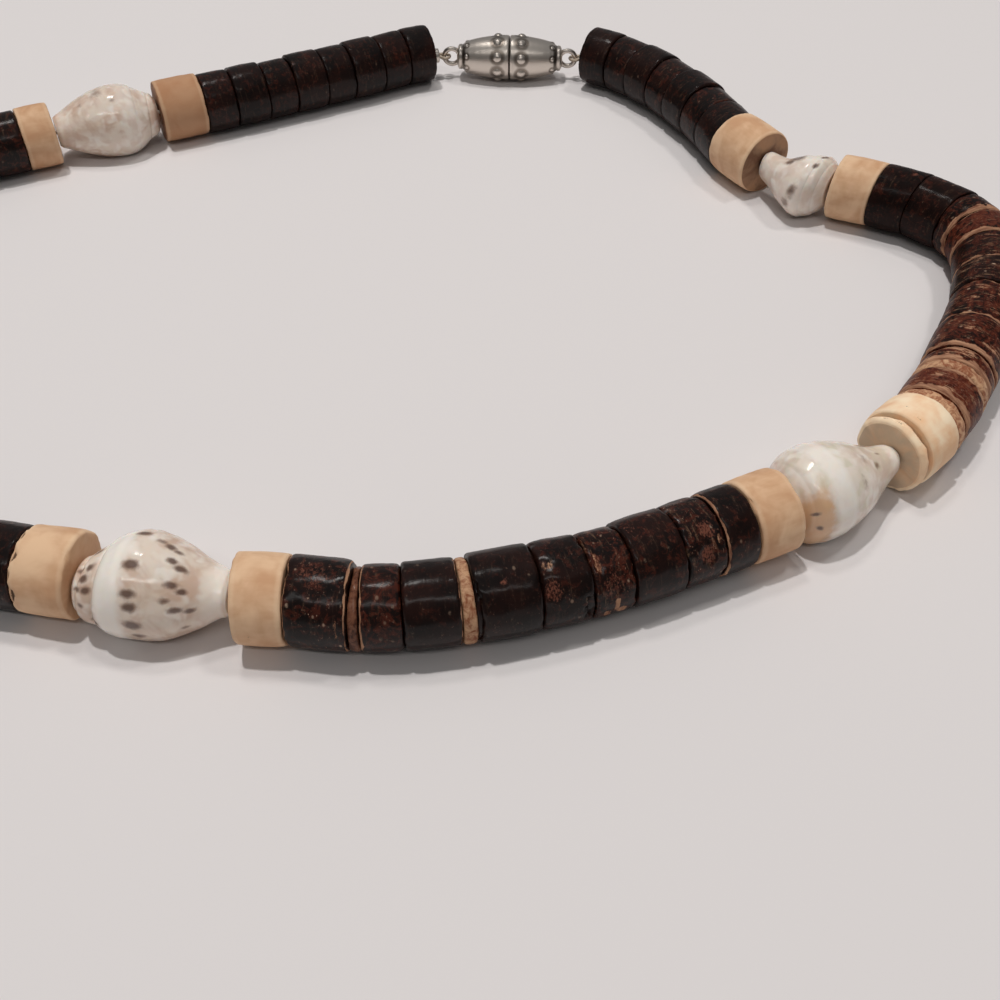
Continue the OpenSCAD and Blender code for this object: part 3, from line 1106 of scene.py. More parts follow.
@dataclass(frozen=True)
class Dot:
    """A brown dot on a shell.

    Attributes:
        along: Place along the shell, 0 at the canal end, 1 at the spire end.
        angle: Degrees round the shell from its top, positive towards the loop's outside.
        width: Half width round the shell, in mm.
        length: Half length along the shell, in mm.
        strength: How dark it is, 0 to 1.
    """

    along: float
    angle: float
    width: float = 0.42
    length: float = 0.5
    strength: float = 1.0

    def shade(self, turn: Array, away: Array, radius: float) -> Array:
        """How dark it makes places that lie so far round (radians) and along (mm) from it."""
        around = turn * radius / (self.width * DOT_SPREAD)
        return self.strength * np.exp(-(around**2) - (away / (self.length * DOT_SPREAD)) ** 2)


@dataclass(frozen=True)
class ShellLook:
    """How one shell differs from the others.

    Attributes:
        dots: Its brown dots.
        band: Strength of its white shoulder band, 0 to 1.
        cloud: Strength of its olive clouds, 0 to 1.
        white: How much whiter than the others it is all over, 0 to 1.
        warm: How tan its spire end is, 0 to 1.
        outline: Part of its radius at parts of its length, from the canal end to the spire.
        sway: How far its body stands out to the loop's outside, in mm.
        lip: How far the mouth's lip swells on the lower outer side, in mm.
        coil: How deep the turns of the spire show, 0 to 1.
        reach: How far its canal end runs on towards the next bead, in mm.
        nod: How far its spire's tip stands out to the loop's outside, in mm.
        drop: How far its body hangs below its axis, in mm.
        swayed: Part of its length where that sway begins, is whole, and dies away again.
    """

    dots: tuple[Dot, ...] = ()
    band: float = 0.8
    cloud: float = 0.1
    white: float = 0.0
    warm: float = 0.0
    outline: tuple[tuple[float, float], ...] = (
        (0.0, 0.44), (0.05, 0.48), (0.14, 0.60), (0.22, 0.71), (0.31, 0.82), (0.41, 0.92), (0.52, 0.985),
        (0.60, 1.0), (0.69, 0.98), (0.76, 0.91), (0.81, 0.81), (0.86, 0.71), (0.92, 0.63), (0.97, 0.56),
        (1.0, 0.45),
    )  # fmt: skip
    sway: float = 0.0
    lip: float = 0.4
    coil: float = 0.6
    reach: float = 0.0
    nod: float = 0.0
    drop: float = 0.0
    swayed: tuple[float, float, float, float] = (0.08, 0.55, 0.8, 1.0)


@dataclass
class WhelkShape:
    """A small whelk shell strung along its axis, its mouth towards the table.

    Attributes:
        row: Its sizes.
        seat: Where it sits.
        number: Its place on the string, which seeds its noise.
        look: Its dots, clouds and form.
        rows: Points along it.
        columns: Points round it.
        bore: Radius of the drilled hole, in mm.
        whorl_start: Part of its length where the spire's first groove begins.
        whorl_pitch: Part of its length that a whorl takes.
        whorl_bulge: How far a whorl of the spire stands out, in mm.
        whorl_groove: How deep the groove between two is, in mm.
        lip_angle: Middle of the lip's swelling, in degrees from the top.
        mouth: Depth of the slot for its mouth, in mm.
        lump: Height of its slow lumps, in mm.
        fine_lump: Height of its fine lumps, in mm.
        ends: How much its canal end and its spire's end are rounded off, in mm.
    """

    row: Row
    seat: Seat
    number: int
    look: ShellLook
    rows: int = 124
    columns: int = 150
    bore: float = 0.9
    whorl_start: float = 0.73
    whorl_pitch: float = 0.13
    whorl_bulge: float = 0.28
    whorl_groove: float = 0.2
    lip_angle: float = 115.0
    mouth: float = 1.1
    lump: float = 0.06
    fine_lump: float = 0.015
    ends: tuple[float, float] = (0.22, 0.3)

    def radius(self, t: Array, theta: Array) -> Array:
        """Radius of the outside, in mm: the outline's radius, a bulge for each whorl of the
        spire with a groove where it meets the next, and a swelling for the mouth's lip.

        Args:
            t: Place along, 0 at the canal end.
            theta: Angle from the top, in radians.

        Returns:
            Radius at each pair.
        """
        turns = (theta + np.pi) / (2 * np.pi)
        phase = (t - self.whorl_start) / self.whorl_pitch - turns
        part = phase - np.floor(phase)
        on_spire = ease(t - self.whorl_pitch * turns, 0.68, 0.75)
        bulge = np.sin(np.pi * part) ** 0.6 - 0.55 + 0.5 * (part - 0.5)
        groove = np.exp(-((np.minimum(part, 1.0 - part) / 0.06) ** 2))
        spire = on_spire * self.look.coil * (self.whorl_bulge * bulge - self.whorl_groove * groove)
        low = np.exp(-(((theta - math.radians(self.lip_angle)) / 0.95) ** 2))
        lip = self.look.lip * low * ease(t, 0.04, 0.2) * ease(t, 0.66, 0.34)
        return self._envelope(t) + spire + lip

    def _envelope(self, t: Array) -> Array:
        """Radius of the outline: its straight stretches with their corners smoothed.

        Args:
            t: Place along, 0 at the canal end.

        Returns:
            Radius at each place, in mm.
        """
        knots = np.array(self.look.outline)
        fine = np.linspace(0.0, 1.0, 401)
        kernel = np.hanning(25)
        padded = np.interp(fine, knots[:, 0], knots[:, 1])
        padded = np.pad(padded, len(kernel) // 2, mode="reflect", reflect_type="odd")
        smooth = np.convolve(padded, kernel / kernel.sum(), mode="valid")
        return np.interp(t, fine, smooth) * self.row.wide / 2

    def _worked(self, t: Array, theta: Array, noise: Noise) -> Array:
        """Radius of the finished outside: ends rounded, slightly lumpy, cut flat where it would
        sink into the table, with a shallow slot for the mouth.

        Args:
            t: Place along, 0 at the canal end.
            theta: Angle from the top, in radians.
            noise: What makes it lumpy.

        Returns:
            Radius at each pair, in mm.
        """
        long, (canal, spire) = self.row.long, self.ends
        rounding = canal * np.exp(-((t * long / 0.3) ** 2))
        rounding = rounding + spire * np.exp(-(((1 - t) * long / 0.35) ** 2))
        r = self.radius(t, theta) - rounding
        at = turned((t - 0.5) * long, r, theta)
        r = r + self.lump * noise.layers(at * 0.35 + self.number) + self.fine_lump * noise(at * 1.5)
        below = -np.cos(theta)
        r = np.where(below > 0.05, np.minimum(r, self.seat.middle[2] / np.maximum(below, 0.05)), r)
        slot_turn = wrapped(theta - np.pi + 0.5 * (t - 0.3))
        slot = ease(np.abs(slot_turn) * r, 0.9, 0.35) * ease(t, 0.03, 0.12) * ease(t, 0.6, 0.45)
        return r - self.mouth * slot

    def patch(self) -> Patch:
        """Builds the shell: the outside from the canal to the spire, its points closer
        together at both ends, then back through the bore.

        Returns:
            The surface with the traits that its finish reads.
        """
        row, look = self.row, self.look
        theta = circle(self.columns, shift=SEAM_TURN)[None, :]
        closer = 0.5 - 0.5 * np.cos(np.linspace(0.0, np.pi, self.rows))
        t = (0.35 * closer + 0.65 * np.linspace(0.0, 1.0, self.rows))[:, None]
        outer = turned((t - 0.5) * row.long, self._worked(t, theta, Noise(self.number * 11 + 5)), theta)
        inner_t = np.linspace(1.0, 0.0, 6)[:, None]
        inner = turned((inner_t - 0.5) * row.long, self.bore, theta)
        first, full_from, full_to, last = look.swayed
        body = ease(t, first, full_from) * ease(t, last, full_to)
        outer[..., 1] += look.sway * body
        outer[..., 2] -= look.drop * body
        outer[..., 1] += look.nod * ease(t, 0.55, 1.0)
        inner[..., 1] += look.nod * ease(inner_t, 0.55, 1.0)
        outer[..., 0] -= look.reach * ease(t, 0.3, 0.0)
        local = np.concatenate([outer, inner])
        along, arc = np.broadcast_arrays(np.concatenate([t, inner_t]), theta)
        even = {"seed": self.number * 1.3, "cloud": look.cloud}
        traits = {name: np.full_like(along, value) for name, value in even.items()}
        traits |= {"local": local, "wrap": spread(along * row.long, arc * row.wide / 2, 1.0)}
        return Patch(self.seat.rest(local), traits | self._paint(along, arc))

    def _paint(self, along: Array, arc: Array) -> Traits:
        """Finds where its colours lie.

        Args:
            along: Place along, 0 at the canal end.
            arc: Angle from the top, in radians.

        Returns:
            How strong the dots, the white and the tan are at each place, 0 to 1.
        """
        row, look = self.row, self.look
        dot = np.zeros_like(along)
        for d in look.dots:
            turn = wrapped(arc - math.radians(d.angle))
            dot = np.maximum(dot, d.shade(turn, (along - d.along) * row.long, row.wide / 2))
        band = look.band * ease(along, 0.58, 0.66) * ease(along, 0.84, 0.76)
        band = np.maximum(band, 0.7 * look.band * ease(along, 0.2, 0.04))
        warm = look.warm * ease(along, 0.74, 0.9) * ease(np.sin(arc - 0.4), -0.25, 0.6)
        band = np.maximum(band, look.white * (1.0 - ease(warm, 0.0, 0.4)))
        return {"dot": dot, "band": band, "warm": warm}


@dataclass
class ClaspHalf:
    """One half of the screw barrel clasp with its soldered end ring.

    Attributes:
        seat: The clasp's middle, facing out of this half.
        studs: Balls soldered round each of its rows.
        rows: For each row of balls its place along, how far out its balls sit, and their
            radius, in mm.
        ring: The end ring's place along, its radius and its wire's radius, in mm.
        profile: Half section: place along, radius, and how much tarnish it holds.
    """

    seat: Seat
    studs: int = 8
    rows: tuple[tuple[float, float, float], ...] = ((1.8, 2.62, 0.86), (6.5, 1.95, 0.44))
    ring: tuple[float, float, float] = (8.95, 1.2, 0.35)
    profile: tuple[tuple[float, float, float], ...] = (
        (0.05, 1.2, 0.2), (0.05, 3.05, 0.6), (0.14, 3.2, 0.2), (0.5, 3.24, 0.0), (1.2, 3.22, 0.0),
        (2.2, 3.14, 0.0), (3.2, 3.02, 0.0), (4.2, 2.86, 0.0), (5.2, 2.66, 0.0), (6.2, 2.4, 0.0),
        (6.8, 2.2, 0.2), (7.1, 1.9, 0.9), (7.3, 1.78, 0.6), (7.5, 1.85, 0.1), (7.8, 1.8, 0.0),
        (8.0, 1.5, 0.2), (8.1, 1.2, 0.3), (8.1, 0.5, 0.4), (6.0, 0.5, 0.5), (3.0, 1.2, 0.5),
    )  # fmt: skip

    def patches(self) -> list[Patch]:
        """The smooth barrel half, its end ring and its balls."""
        balls = [self._ball(*row, angle) for row in self.rows for angle in self._angles()]
        return [self._barrel(), self._ring(), *balls]

    def _angles(self) -> Array:
        """Angles of the balls from the top, in radians, so that none is right below."""
        return (np.arange(self.studs) + 0.45) * 2 * np.pi / self.studs

    def _barrel(self) -> Patch:
        """The turned half: the profile about the axis, tarnished round the foot of each ball.

        Returns:
            Its surface.
        """
        knots = np.array(self.profile)
        arc = distances(knots[:, :2])
        at = np.sort(np.unique(np.concatenate([arc, np.arange(0.0, arc[-1], 0.2)])))
        t, r, tarnish = (np.interp(at, arc, knots[:, k])[:, None] for k in range(3))
        theta = circle(132)[None, :]
        local, groove = turned(t, r, theta), tarnish + 0 * theta
        for place, out, size in self.rows:
            for angle in self._angles():
                away = np.linalg.norm(local - turned(place, out, angle), axis=-1) / size
                groove = np.maximum(groove, ease(away, 1.9, 1.05))
        return self._patch(local, groove)

    def _ring(self) -> Patch:
        """The end ring, a circle of round wire that stands upright along the axis.

        Returns:
            Its surface.
        """
        u, v = circle(64, 0.0)[:, None], circle(20, 0.0)[None, :]
        place, radius, wire = self.ring
        out = radius + wire * np.cos(v)
        local = spread(place + out * np.cos(u), wire * np.sin(v), out * np.sin(u))
        return self._patch(local, np.full(local.shape[:2], 0.15))

    def _ball(self, t: float, out: float, size: float, angle: float) -> Patch:
        """One ball of metal, half sunk in the barrel.

        Args:
            t: Place of its middle along the axis, in mm.
            out: How far out its middle sits, in mm.
            size: Its radius, in mm.
            angle: Its angle from the top, in radians.

        Returns:
            Its surface, closed by two poles.
        """
        middle, end = turned(t, out, angle), np.array([size, 0.0, 0.0])
        u, v = np.linspace(0.0, np.pi, 17)[1:-1, None], circle(24, 0.0)[None, :]
        ball = spread(np.cos(u), np.sin(u) * np.cos(v), np.sin(u) * np.sin(v))
        patch = self._patch(middle + size * ball, np.zeros(ball.shape[:2]))
        patch.poles = (self.seat.place(middle + end), self.seat.place(middle - end))
        return patch

    def _patch(self, local: Array, groove: Array) -> Patch:
        """Puts points in their place, with the traits that the finish reads."""
        return Patch(self.seat.place(local), {"local": local, "groove": groove})


@dataclass
class CrimpShape:
    """A short tube squeezed on the doubled cord.

    Attributes:
        seat: Where it sits.
        radius: Outer radius, in mm.
        bore: Inner radius, in mm.
        half: Half of its length, in mm.
    """

    seat: Seat
    radius: float = 1.05
    bore: float = 0.7
    half: float = 0.47

    def patch(self) -> Patch:
        """The tube: a rounded square section turned about the axis.

        Returns:
            Its surface.
        """
        v, theta = circle(24, 0.0)[:, None], circle(48)[None, :]
        square = np.maximum(np.abs(np.cos(v)), np.abs(np.sin(v))) ** -0.7
        t = np.clip(self.half * np.sin(v) * square, -self.half, self.half)
        across = (self.radius - self.bore) / 2 * np.clip(np.cos(v) * square, -1, 1)
        local = turned(t, (self.radius + self.bore) / 2 + across, theta)
        return Patch(self.seat.place(local), {"local": local, "groove": np.zeros(local.shape[:2])})


@dataclass
class CordShape:
    """The cord: a round section swept through every bore.

    Attributes:
        path: Points that it passes through, in mm.
        radius: Its radius, in mm.
        rows: Points along it.
        columns: Points round it.
        strand: How far its three strands stand out, as a part of its radius.
        twist: How far they turn, in radians a mm.
    """

    path: Array
    radius: float = 0.24
    rows: int = 1100
    columns: int = 12
    strand: float = 0.08
    twist: float = 2.2

    def patch(self) -> Patch:
        """Builds the cord: a circle carried along the path, its radius swelling with the
        three twisted strands.

        Returns:
            The surface, closed by a pole at each end.
        """
        arc = distances(self.path)
        at = np.linspace(0.0, arc[-1], self.rows)
        line = np.stack([np.interp(at, arc, self.path[:, k]) for k in range(3)], -1)
        ahead = np.gradient(line, axis=0)
        ahead /= np.linalg.norm(ahead, axis=1, keepdims=True)
        side = np.cross(ahead, [0.0, 0.0, 1.0])
        side /= np.linalg.norm(side, axis=1, keepdims=True)
        over = np.cross(side, ahead)
        theta, at = circle(self.columns, 0.0)[None, :], at[:, None]
        swell = 1.0 + self.strand * np.cos(3 * (theta - at * self.twist))
        ring = np.cos(theta)[..., None] * side[:, None] + np.sin(theta)[..., None] * over[:, None]
        points = line[:, None] + self.radius * swell[..., None] * ring
        return Patch(points, {"wrap": spread(at, theta, 0.0)}, (line[0], line[-1]))


def coco(long: float, wide: float, lean: float = 0.0, turn: float = 0.0, **look: object) -> Row:
    """A coconut bead's row, with the look's fields given by name."""
    return Row(Kind.COCO, long, wide, turn, lean, Look(**look))


def disc(long: float, wide: float, lean: float = 0.0, turn: float = 0.0, **look: object) -> Row:
    """A thin tan disc's row."""
    return Row(Kind.DISC, long, wide, turn, lean, Look(**{"red": 0.0, **look}))


def wood(long: float, wide: float, lean: float = 0.0, turn: float = 0.0, **look: object) -> Row:
    """A wood bead's row."""
    return Row(Kind.WOOD, long, wide, turn, lean, Look(**look))


def whelk(long: float, wide: float) -> Row:
    """A shell's row."""
    return Row(Kind.SHELL, long, wide)


RUN_1 = (
    coco(4.3, 8.1, turn=-3, red=0.2, wear=0.5), coco(4.0, 7.9, 2, red=0.3), coco(4.4, 8.2, 2, red=0.2),
    coco(4.2, 8.0, 2, red=0.35), coco(4.5, 8.3, red=0.25), coco(4.2, 8.0, red=0.4), coco(4.1, 8.1, red=0.3),
)  # fmt: skip
RUN_2 = (
    coco(4.9, 8.2, 12, -12, red=0.3, fleck=0.2, wear=0.1, shine=0.15,
         marks=(Mark(0, 0.5, 0.5, 0.35, 0.05, pink=0.7),)),
    coco(5.0, 8.1, 12, -8, red=0.3, fleck=0.25, wear=0.1, shine=0.15,
         marks=(Mark(15, -0.3, 0.35, 0.35, 0.05, pink=0.7), Mark(-65, -1.0, 1.1, 0.3, 0.3))),
    coco(3.3, 8.1, 20, red=0.5, fleck=0.4, streak=0.4, rim_end=0.7, wear=0.9, shine=0.2),
    coco(4.2, 8.1, 22, red=0.8, fleck=0.3, streak=0.4, rim_start=0.3, rim_end=0.6, wear=0.8, shine=0.2),
    coco(5.1, 8.1, 8, red=0.5, fleck=0.5, streak=0.5, rim_end=0.25, wear=0.8, shine=0.2),
    coco(5.1, 8.2, 6, red=0.45, fleck=1.0, streak=0.8, wear=0.8, shine=0.2,
         marks=(Mark(25, 0.1, 0.9, 0.7, 0.1, pale=0.7),)),
    coco(6.8, 8.1, 4, red=0.7, fleck=0.9, streak=1.0, rim_start=0.35, rim_end=0.3, wear=0.9, shine=0.15,
         marks=(Mark(20, -0.35, 0.8, 0.6, 0.08, pale=0.6), Mark(-20, 0.1, 0.9, 0.4, 0.08, pale=0.5))),
    coco(6.4, 8.3, 2, red=0.75, fleck=0.8, streak=1.0, rim_end=0.5, wear=0.9, shine=0.15,
         marks=(Mark(-5, 0.0, 1.2, 0.3, 0.05, pale=0.6), Mark(30, 0.5, 1.4, 0.3, 0.05, pale=0.6))),
    coco(2.3, 8.1, red=0.85, fleck=0.8, streak=1.0, rim_start=0.6, rim_end=0.8, wear=0.9, shine=0.15,
         marks=(Mark(0, 0.0, 2.4, 0.9, 0.02, pale=0.35),)),
    disc(1.4, 8.2, turn=4, red=0.1, wear=0.8),
    coco(3.8, 8.3, 3, red=1.0, fleck=0.6, streak=1.0, rim_start=0.5, rim_end=0.7, wear=0.8, shine=0.2,
         marks=(Mark(-15, -0.2, 1.1, 0.35, 0.06, pale=0.7), Mark(10, 0.4, 0.8, 0.25, 0.05, pale=0.6),
                Mark(5, 0.0, 4.0, 1.6, 0.02, pink=0.4))),
    disc(1.5, 8.2, 3, wear=0.8),
)  # fmt: skip
RUN_3 = (
    coco(3.4, 8.3, red=0.3, fleck=0.3, rim_end=0.18, wear=0.5),
    coco(3.8, 8.1, red=0.45, fleck=0.8, streak=0.3, wear=1.2,
         marks=(Mark(28, -0.2, 1.1, 1.0, 0.1, pink=0.55), Mark(60, 0.0, 1.2, 0.8, 0.25, pink=0.6),
                Mark(45, -0.7, 0.6, 0.4, 0.1, pale=0.6))),
    coco(4.7, 8.2, red=0.35, fleck=0.2, wear=0.4, marks=(Mark(-10, 0.6, 0.9, 0.8, 0.05, pink=0.35),)),
    coco(3.5, 8.0, red=0.5, fleck=0.7, streak=0.3, wear=1.1,
         marks=(Mark(25, 0.6, 1.4, 0.35, 0.12, pale=0.6), Mark(60, 0.1, 1.6, 1.1, 0.1, pink=0.4),
                Mark(92, 0.0, 1.5, 0.26, 0.05, pale=0.9), Mark(108, -0.3, 0.9, 0.4, 0.05, pale=0.85),
                Mark(110, 0.4, 0.7, 0.35, 0.05, pale=0.85))),
    coco(4.2, 8.1, red=0.3, fleck=0.35, streak=0.1, wear=1.1,
         marks=(Mark(15, 0.7, 0.9, 0.6, 0.1, pale=0.45), Mark(88, -1.0, 1.5, 1.0, 1.2),
                Mark(50, 0.6, 1.2, 0.9, 0.05, pink=0.5))),
    coco(5.3, 8.2, red=0.2, fleck=0.25, streak=0.05, wear=0.5,
         marks=(Mark(26, 0.1, 0.4, 0.35, 0.08, pink=0.7), Mark(72, 1.0, 3.4, 0.5, 0.6))),
    disc(1.0, 7.8, red=0.2, wear=0.3),
    coco(4.4, 8.0, red=0.2, fleck=0.2, streak=0.03, rim_start=0.1, wear=0.5),
    coco(3.1, 7.9, red=0.5, fleck=0.3, rim_end=0.18, wear=0.4),
    disc(0.7, 7.6, red=0.85, wear=0.6),
    coco(5.0, 8.3, red=0.4, fleck=0.9, rim_start=0.16, rim_end=0.12, wear=0.8,
         marks=(Mark(70, -0.7, 1.5, 0.2, 0.1, pale=0.6), Mark(0, 0.1, 2.2, 1.6, 0.03, pink=0.4))),
)  # fmt: skip
RUN_4 = (
    coco(4.6, 8.1, red=0.3), coco(4.3, 8.0, red=0.3), coco(4.9, 8.2, red=0.5, fleck=0.5),
    coco(4.5, 7.9, red=0.3), coco(5.0, 8.1, red=0.4), coco(4.6, 8.0, red=0.6, fleck=0.4),
    disc(1.2, 7.8), coco(4.3, 8.2, red=0.4), coco(4.7, 8.1, red=0.3), coco(4.4, 8.0, red=0.5),
)  # fmt: skip
RUN_5 = (
    coco(4.3, 8.1, red=0.4), coco(4.4, 8.2, red=0.3, fleck=0.5), coco(4.2, 8.0, red=0.6, rim_end=0.2),
    disc(1.1, 7.8), coco(4.5, 8.1, red=0.3), coco(4.2, 7.9, red=0.5), coco(4.6, 8.2, red=0.4, fleck=0.4),
    coco(4.2, 8.0, red=0.3), coco(4.3, 8.1, red=0.35), coco(4.2, 8.2, red=0.4),
)  # fmt: skip
RUN_6 = (
    coco(4.2, 8.1, red=0.35, fleck=0.3), coco(4.4, 8.2, red=0.25), coco(4.0, 7.9, red=0.3),
    coco(4.5, 8.2, red=0.3), coco(4.1, 8.0, red=0.2), coco(4.5, 8.2, red=0.25), coco(4.1, 8.0, red=0.3),
    coco(4.0, 8.1, red=0.2),
)  # fmt: skip

STRING: tuple[tuple[str, tuple[Row, ...]], ...] = (
    ("coco_run_1", RUN_1),
    # The red of wood_1, the wood disc and wood_10 paints shade on their end faces, over a browner end grain.
    ("wood_1", (wood(5.9, 8.5, red=0.9, wear=0.3),)),
    ("shell_1", (whelk(9.0, 8.2),)),
    ("wood_2", (wood(5.3, 8.2, turn=-12, wear=0.2),)),
    ("coco_run_2", RUN_2),
    # The cream of wood_3 and the wood disc is partly painted light.
    ("wood_3", (wood(4.0, 8.6, 3, cream=1.0, wear=0.4,
                     marks=(Mark(10, 0.6, 0.9, 0.12, 0.08, pink=0.6),
                            Mark(-12, 0.3, 0.3, 0.12, 0.05, pink=0.5))),)),
    ("wood_disc", (disc(1.2, 7.7, 3, red=0.45, cream=1.0, wear=0.9,
                        marks=(Mark(-5, 0.0, 0.8, 0.15, 0.15, pink=0.45),
                               Mark(-25, 0.2, 0.4, 0.15, 0.15, pink=0.45))),)),
    ("shell_2", (whelk(13.4, 9.9),)),
    ("wood_4", (wood(4.7, 8.4, wear=0.5, marks=(Mark(20, 1.0, 0.8, 0.5, 0.15),)),)),
    ("coco_run_3", RUN_3),
    ("wood_5", (wood(4.5, 8.4, turn=9, wear=0.4, marks=(Mark(95, 0.35, 0.35, 0.3, 0.15, pink=0.5),)),)),
    ("shell_3", (whelk(14.0, 10.2),)),
    # On wood a mark's pink paints shade into its bite or crack, here and on wood_3, the disc and wood_5.
    ("wood_6", (wood(5.1, 8.3, red=0.15, wear=0.9,
                     marks=(Mark(24, 1.1, 0.8, 0.9, 0.3, pink=1.0), Mark(50, 1.15, 0.5, 0.8, 0.2, pink=1.0),
                            Mark(80, 1.1, 1.1, 0.85, 0.3, pink=1.0),
                            Mark(-6, 1.15, 0.9, 0.8, 0.2, pink=1.0))),)),
    ("coco_run_4", RUN_4),
    ("wood_7", (wood(5.1, 8.3),)),
    ("shell_4", (whelk(14.2, 10.0),)),
    ("wood_8", (wood(5.2, 8.4),)),
    ("coco_run_5", RUN_5),
    # The streak of wood_9 and wood_10 browns them, partly painted shade.
    ("wood_9", (wood(4.3, 8.3, streak=0.4),)),
    ("shell_5", (whelk(14.1, 9.8),)),
    ("wood_10", (wood(6.1, 8.3, streak=0.7, red=0.9),)),
    ("coco_run_6", RUN_6),
)  # fmt: skip

CORNERS: tuple[tuple[float, float], ...] = (
    (19.5, 54.5), (32, 53.5), (40.5, 46.5), (47, 36), (52, 24), (60, 16.5), (70.5, 12), (77, 5), (76, -6),
    (70.5, -18), (62.5, -30.5), (53, -38.5), (38.5, -46), (23.5, -52), (7, -55), (-10, -53), (-28, -50),
    (-44, -46.5), (-58.5, -39.5), (-69.5, -28), (-75.5, -13.5), (-74.5, 1), (-67.5, 13.5), (-57.5, 22.5),
    (-45.5, 29), (-31, 35.5), (-18, 41.5), (-4.5, 48.5), (7.5, 54.5),
)  # fmt: skip


def dots(*rows: tuple[float, ...]) -> tuple[Dot, ...]:
    """Dots from rows of numbers: along, angle, width, length, strength."""
    return tuple(Dot(*row) for row in rows)


SHELL_LOOKS: dict[str, ShellLook] = {
    "shell_1": ShellLook(
        dots((0.47, 5, 1.0, 0.8), (0.4, -12, 0.6, 0.6, 0.8), (0.82, 8, 0.4, 0.35, 0.9),
             (0.79, -22, 0.4, 0.3, 0.8), (0.63, -75, 0.9, 0.5, 0.7), (0.56, -104, 0.7, 0.6, 0.6),
             (0.75, 30, 0.4, 0.4, 0.6)),
        band=0.5, white=0.35, sway=-1.5, drop=0.2, swayed=(0.0, 0.35, 0.6, 1.0), lip=0.0, coil=0.2, reach=0.8,
        outline=((0.0, 0.44), (0.15, 0.52), (0.28, 0.62), (0.42, 0.78), (0.55, 0.93), (0.7, 1.0),
                 (0.85, 0.95), (1.0, 0.66)),
    ),
    "shell_2": ShellLook(
        dots((0.95, 62, 0.18, 0.26), (0.93, 86, 0.26, 0.2), (0.26, -22, 0.3, 0.6, 0.9),
             (0.28, 35, 0.5, 0.4, 0.5), (0.2, 10, 0.3, 0.3, 0.5), (0.4, 20, 0.8, 0.4, 0.35),
             (0.5, 50, 0.8, 0.35, 0.35)),
        band=0.8, cloud=0.7, warm=0.9, white=0.25, sway=-0.3, lip=0.3, coil=0.12, reach=0.4,
        outline=((0.0, 0.31), (0.07, 0.36), (0.16, 0.43), (0.26, 0.57), (0.36, 0.73), (0.46, 0.85),
                 (0.56, 0.94), (0.66, 1.0), (0.8, 0.98), (0.9, 0.88), (1.0, 0.6)),
    ),
    "shell_3": ShellLook(
        dots((0.58, -24, 0.36, 0.6), (0.57, 20, 0.42, 0.6), (0.56, 50, 0.34, 0.6), (0.55, 64, 0.4, 0.6),
             (0.54, 85, 0.4, 0.65), (0.52, 103, 0.34, 0.6, 0.8), (0.34, 5, 0.34, 0.4), (0.28, 12, 0.36, 0.5),
             (0.31, 36, 0.34, 0.5), (0.25, 44, 0.36, 0.45), (0.34, 56, 0.3, 0.4, 0.7), (0.28, 69, 0.32, 0.55),
             (0.2, 72, 0.32, 0.4), (0.24, 101, 0.3, 0.35, 0.6), (0.38, -14, 0.36, 0.45, 0.9),
             (0.33, -11, 0.3, 0.4, 0.8), (0.45, -18, 0.3, 0.5, 0.6), (0.85, -18, 0.4, 0.4, 0.8),
             (0.86, 12, 0.5, 0.4, 0.9), (0.89, 28, 0.5, 0.4), (0.86, 46, 0.45, 0.45),
             (0.93, 44, 0.4, 0.4, 0.8), (0.82, 97, 0.4, 0.4, 0.8), (0.93, 10, 0.4, 0.4, 0.8),
             (0.9, 70, 0.35, 0.3, 0.7)),
        band=0.95, cloud=0.1, coil=0.8, nod=1.2,
        outline=((0.0, 0.42), (0.05, 0.44), (0.14, 0.54), (0.22, 0.65), (0.31, 0.78), (0.41, 0.9),
                 (0.52, 0.985), (0.60, 1.0), (0.69, 0.97), (0.76, 0.89), (0.81, 0.77), (0.86, 0.68),
                 (0.92, 0.60), (0.97, 0.53), (1.0, 0.42)),
    ),
    "shell_4": ShellLook(
        dots((0.56, 0), (0.56, 40), (0.56, -40), (0.3, 20), (0.3, -20), (0.86, 0), (0.86, 40)),
    ),
    "shell_5": ShellLook(
        dots((0.45, -5, 1.3, 0.9, 0.4), (0.27, -15, 0.4, 0.4, 0.4), (0.58, -30, 0.4, 0.4, 0.35)),
        band=0.4, cloud=0.0, coil=0.3,
    ),
}  # fmt: skip


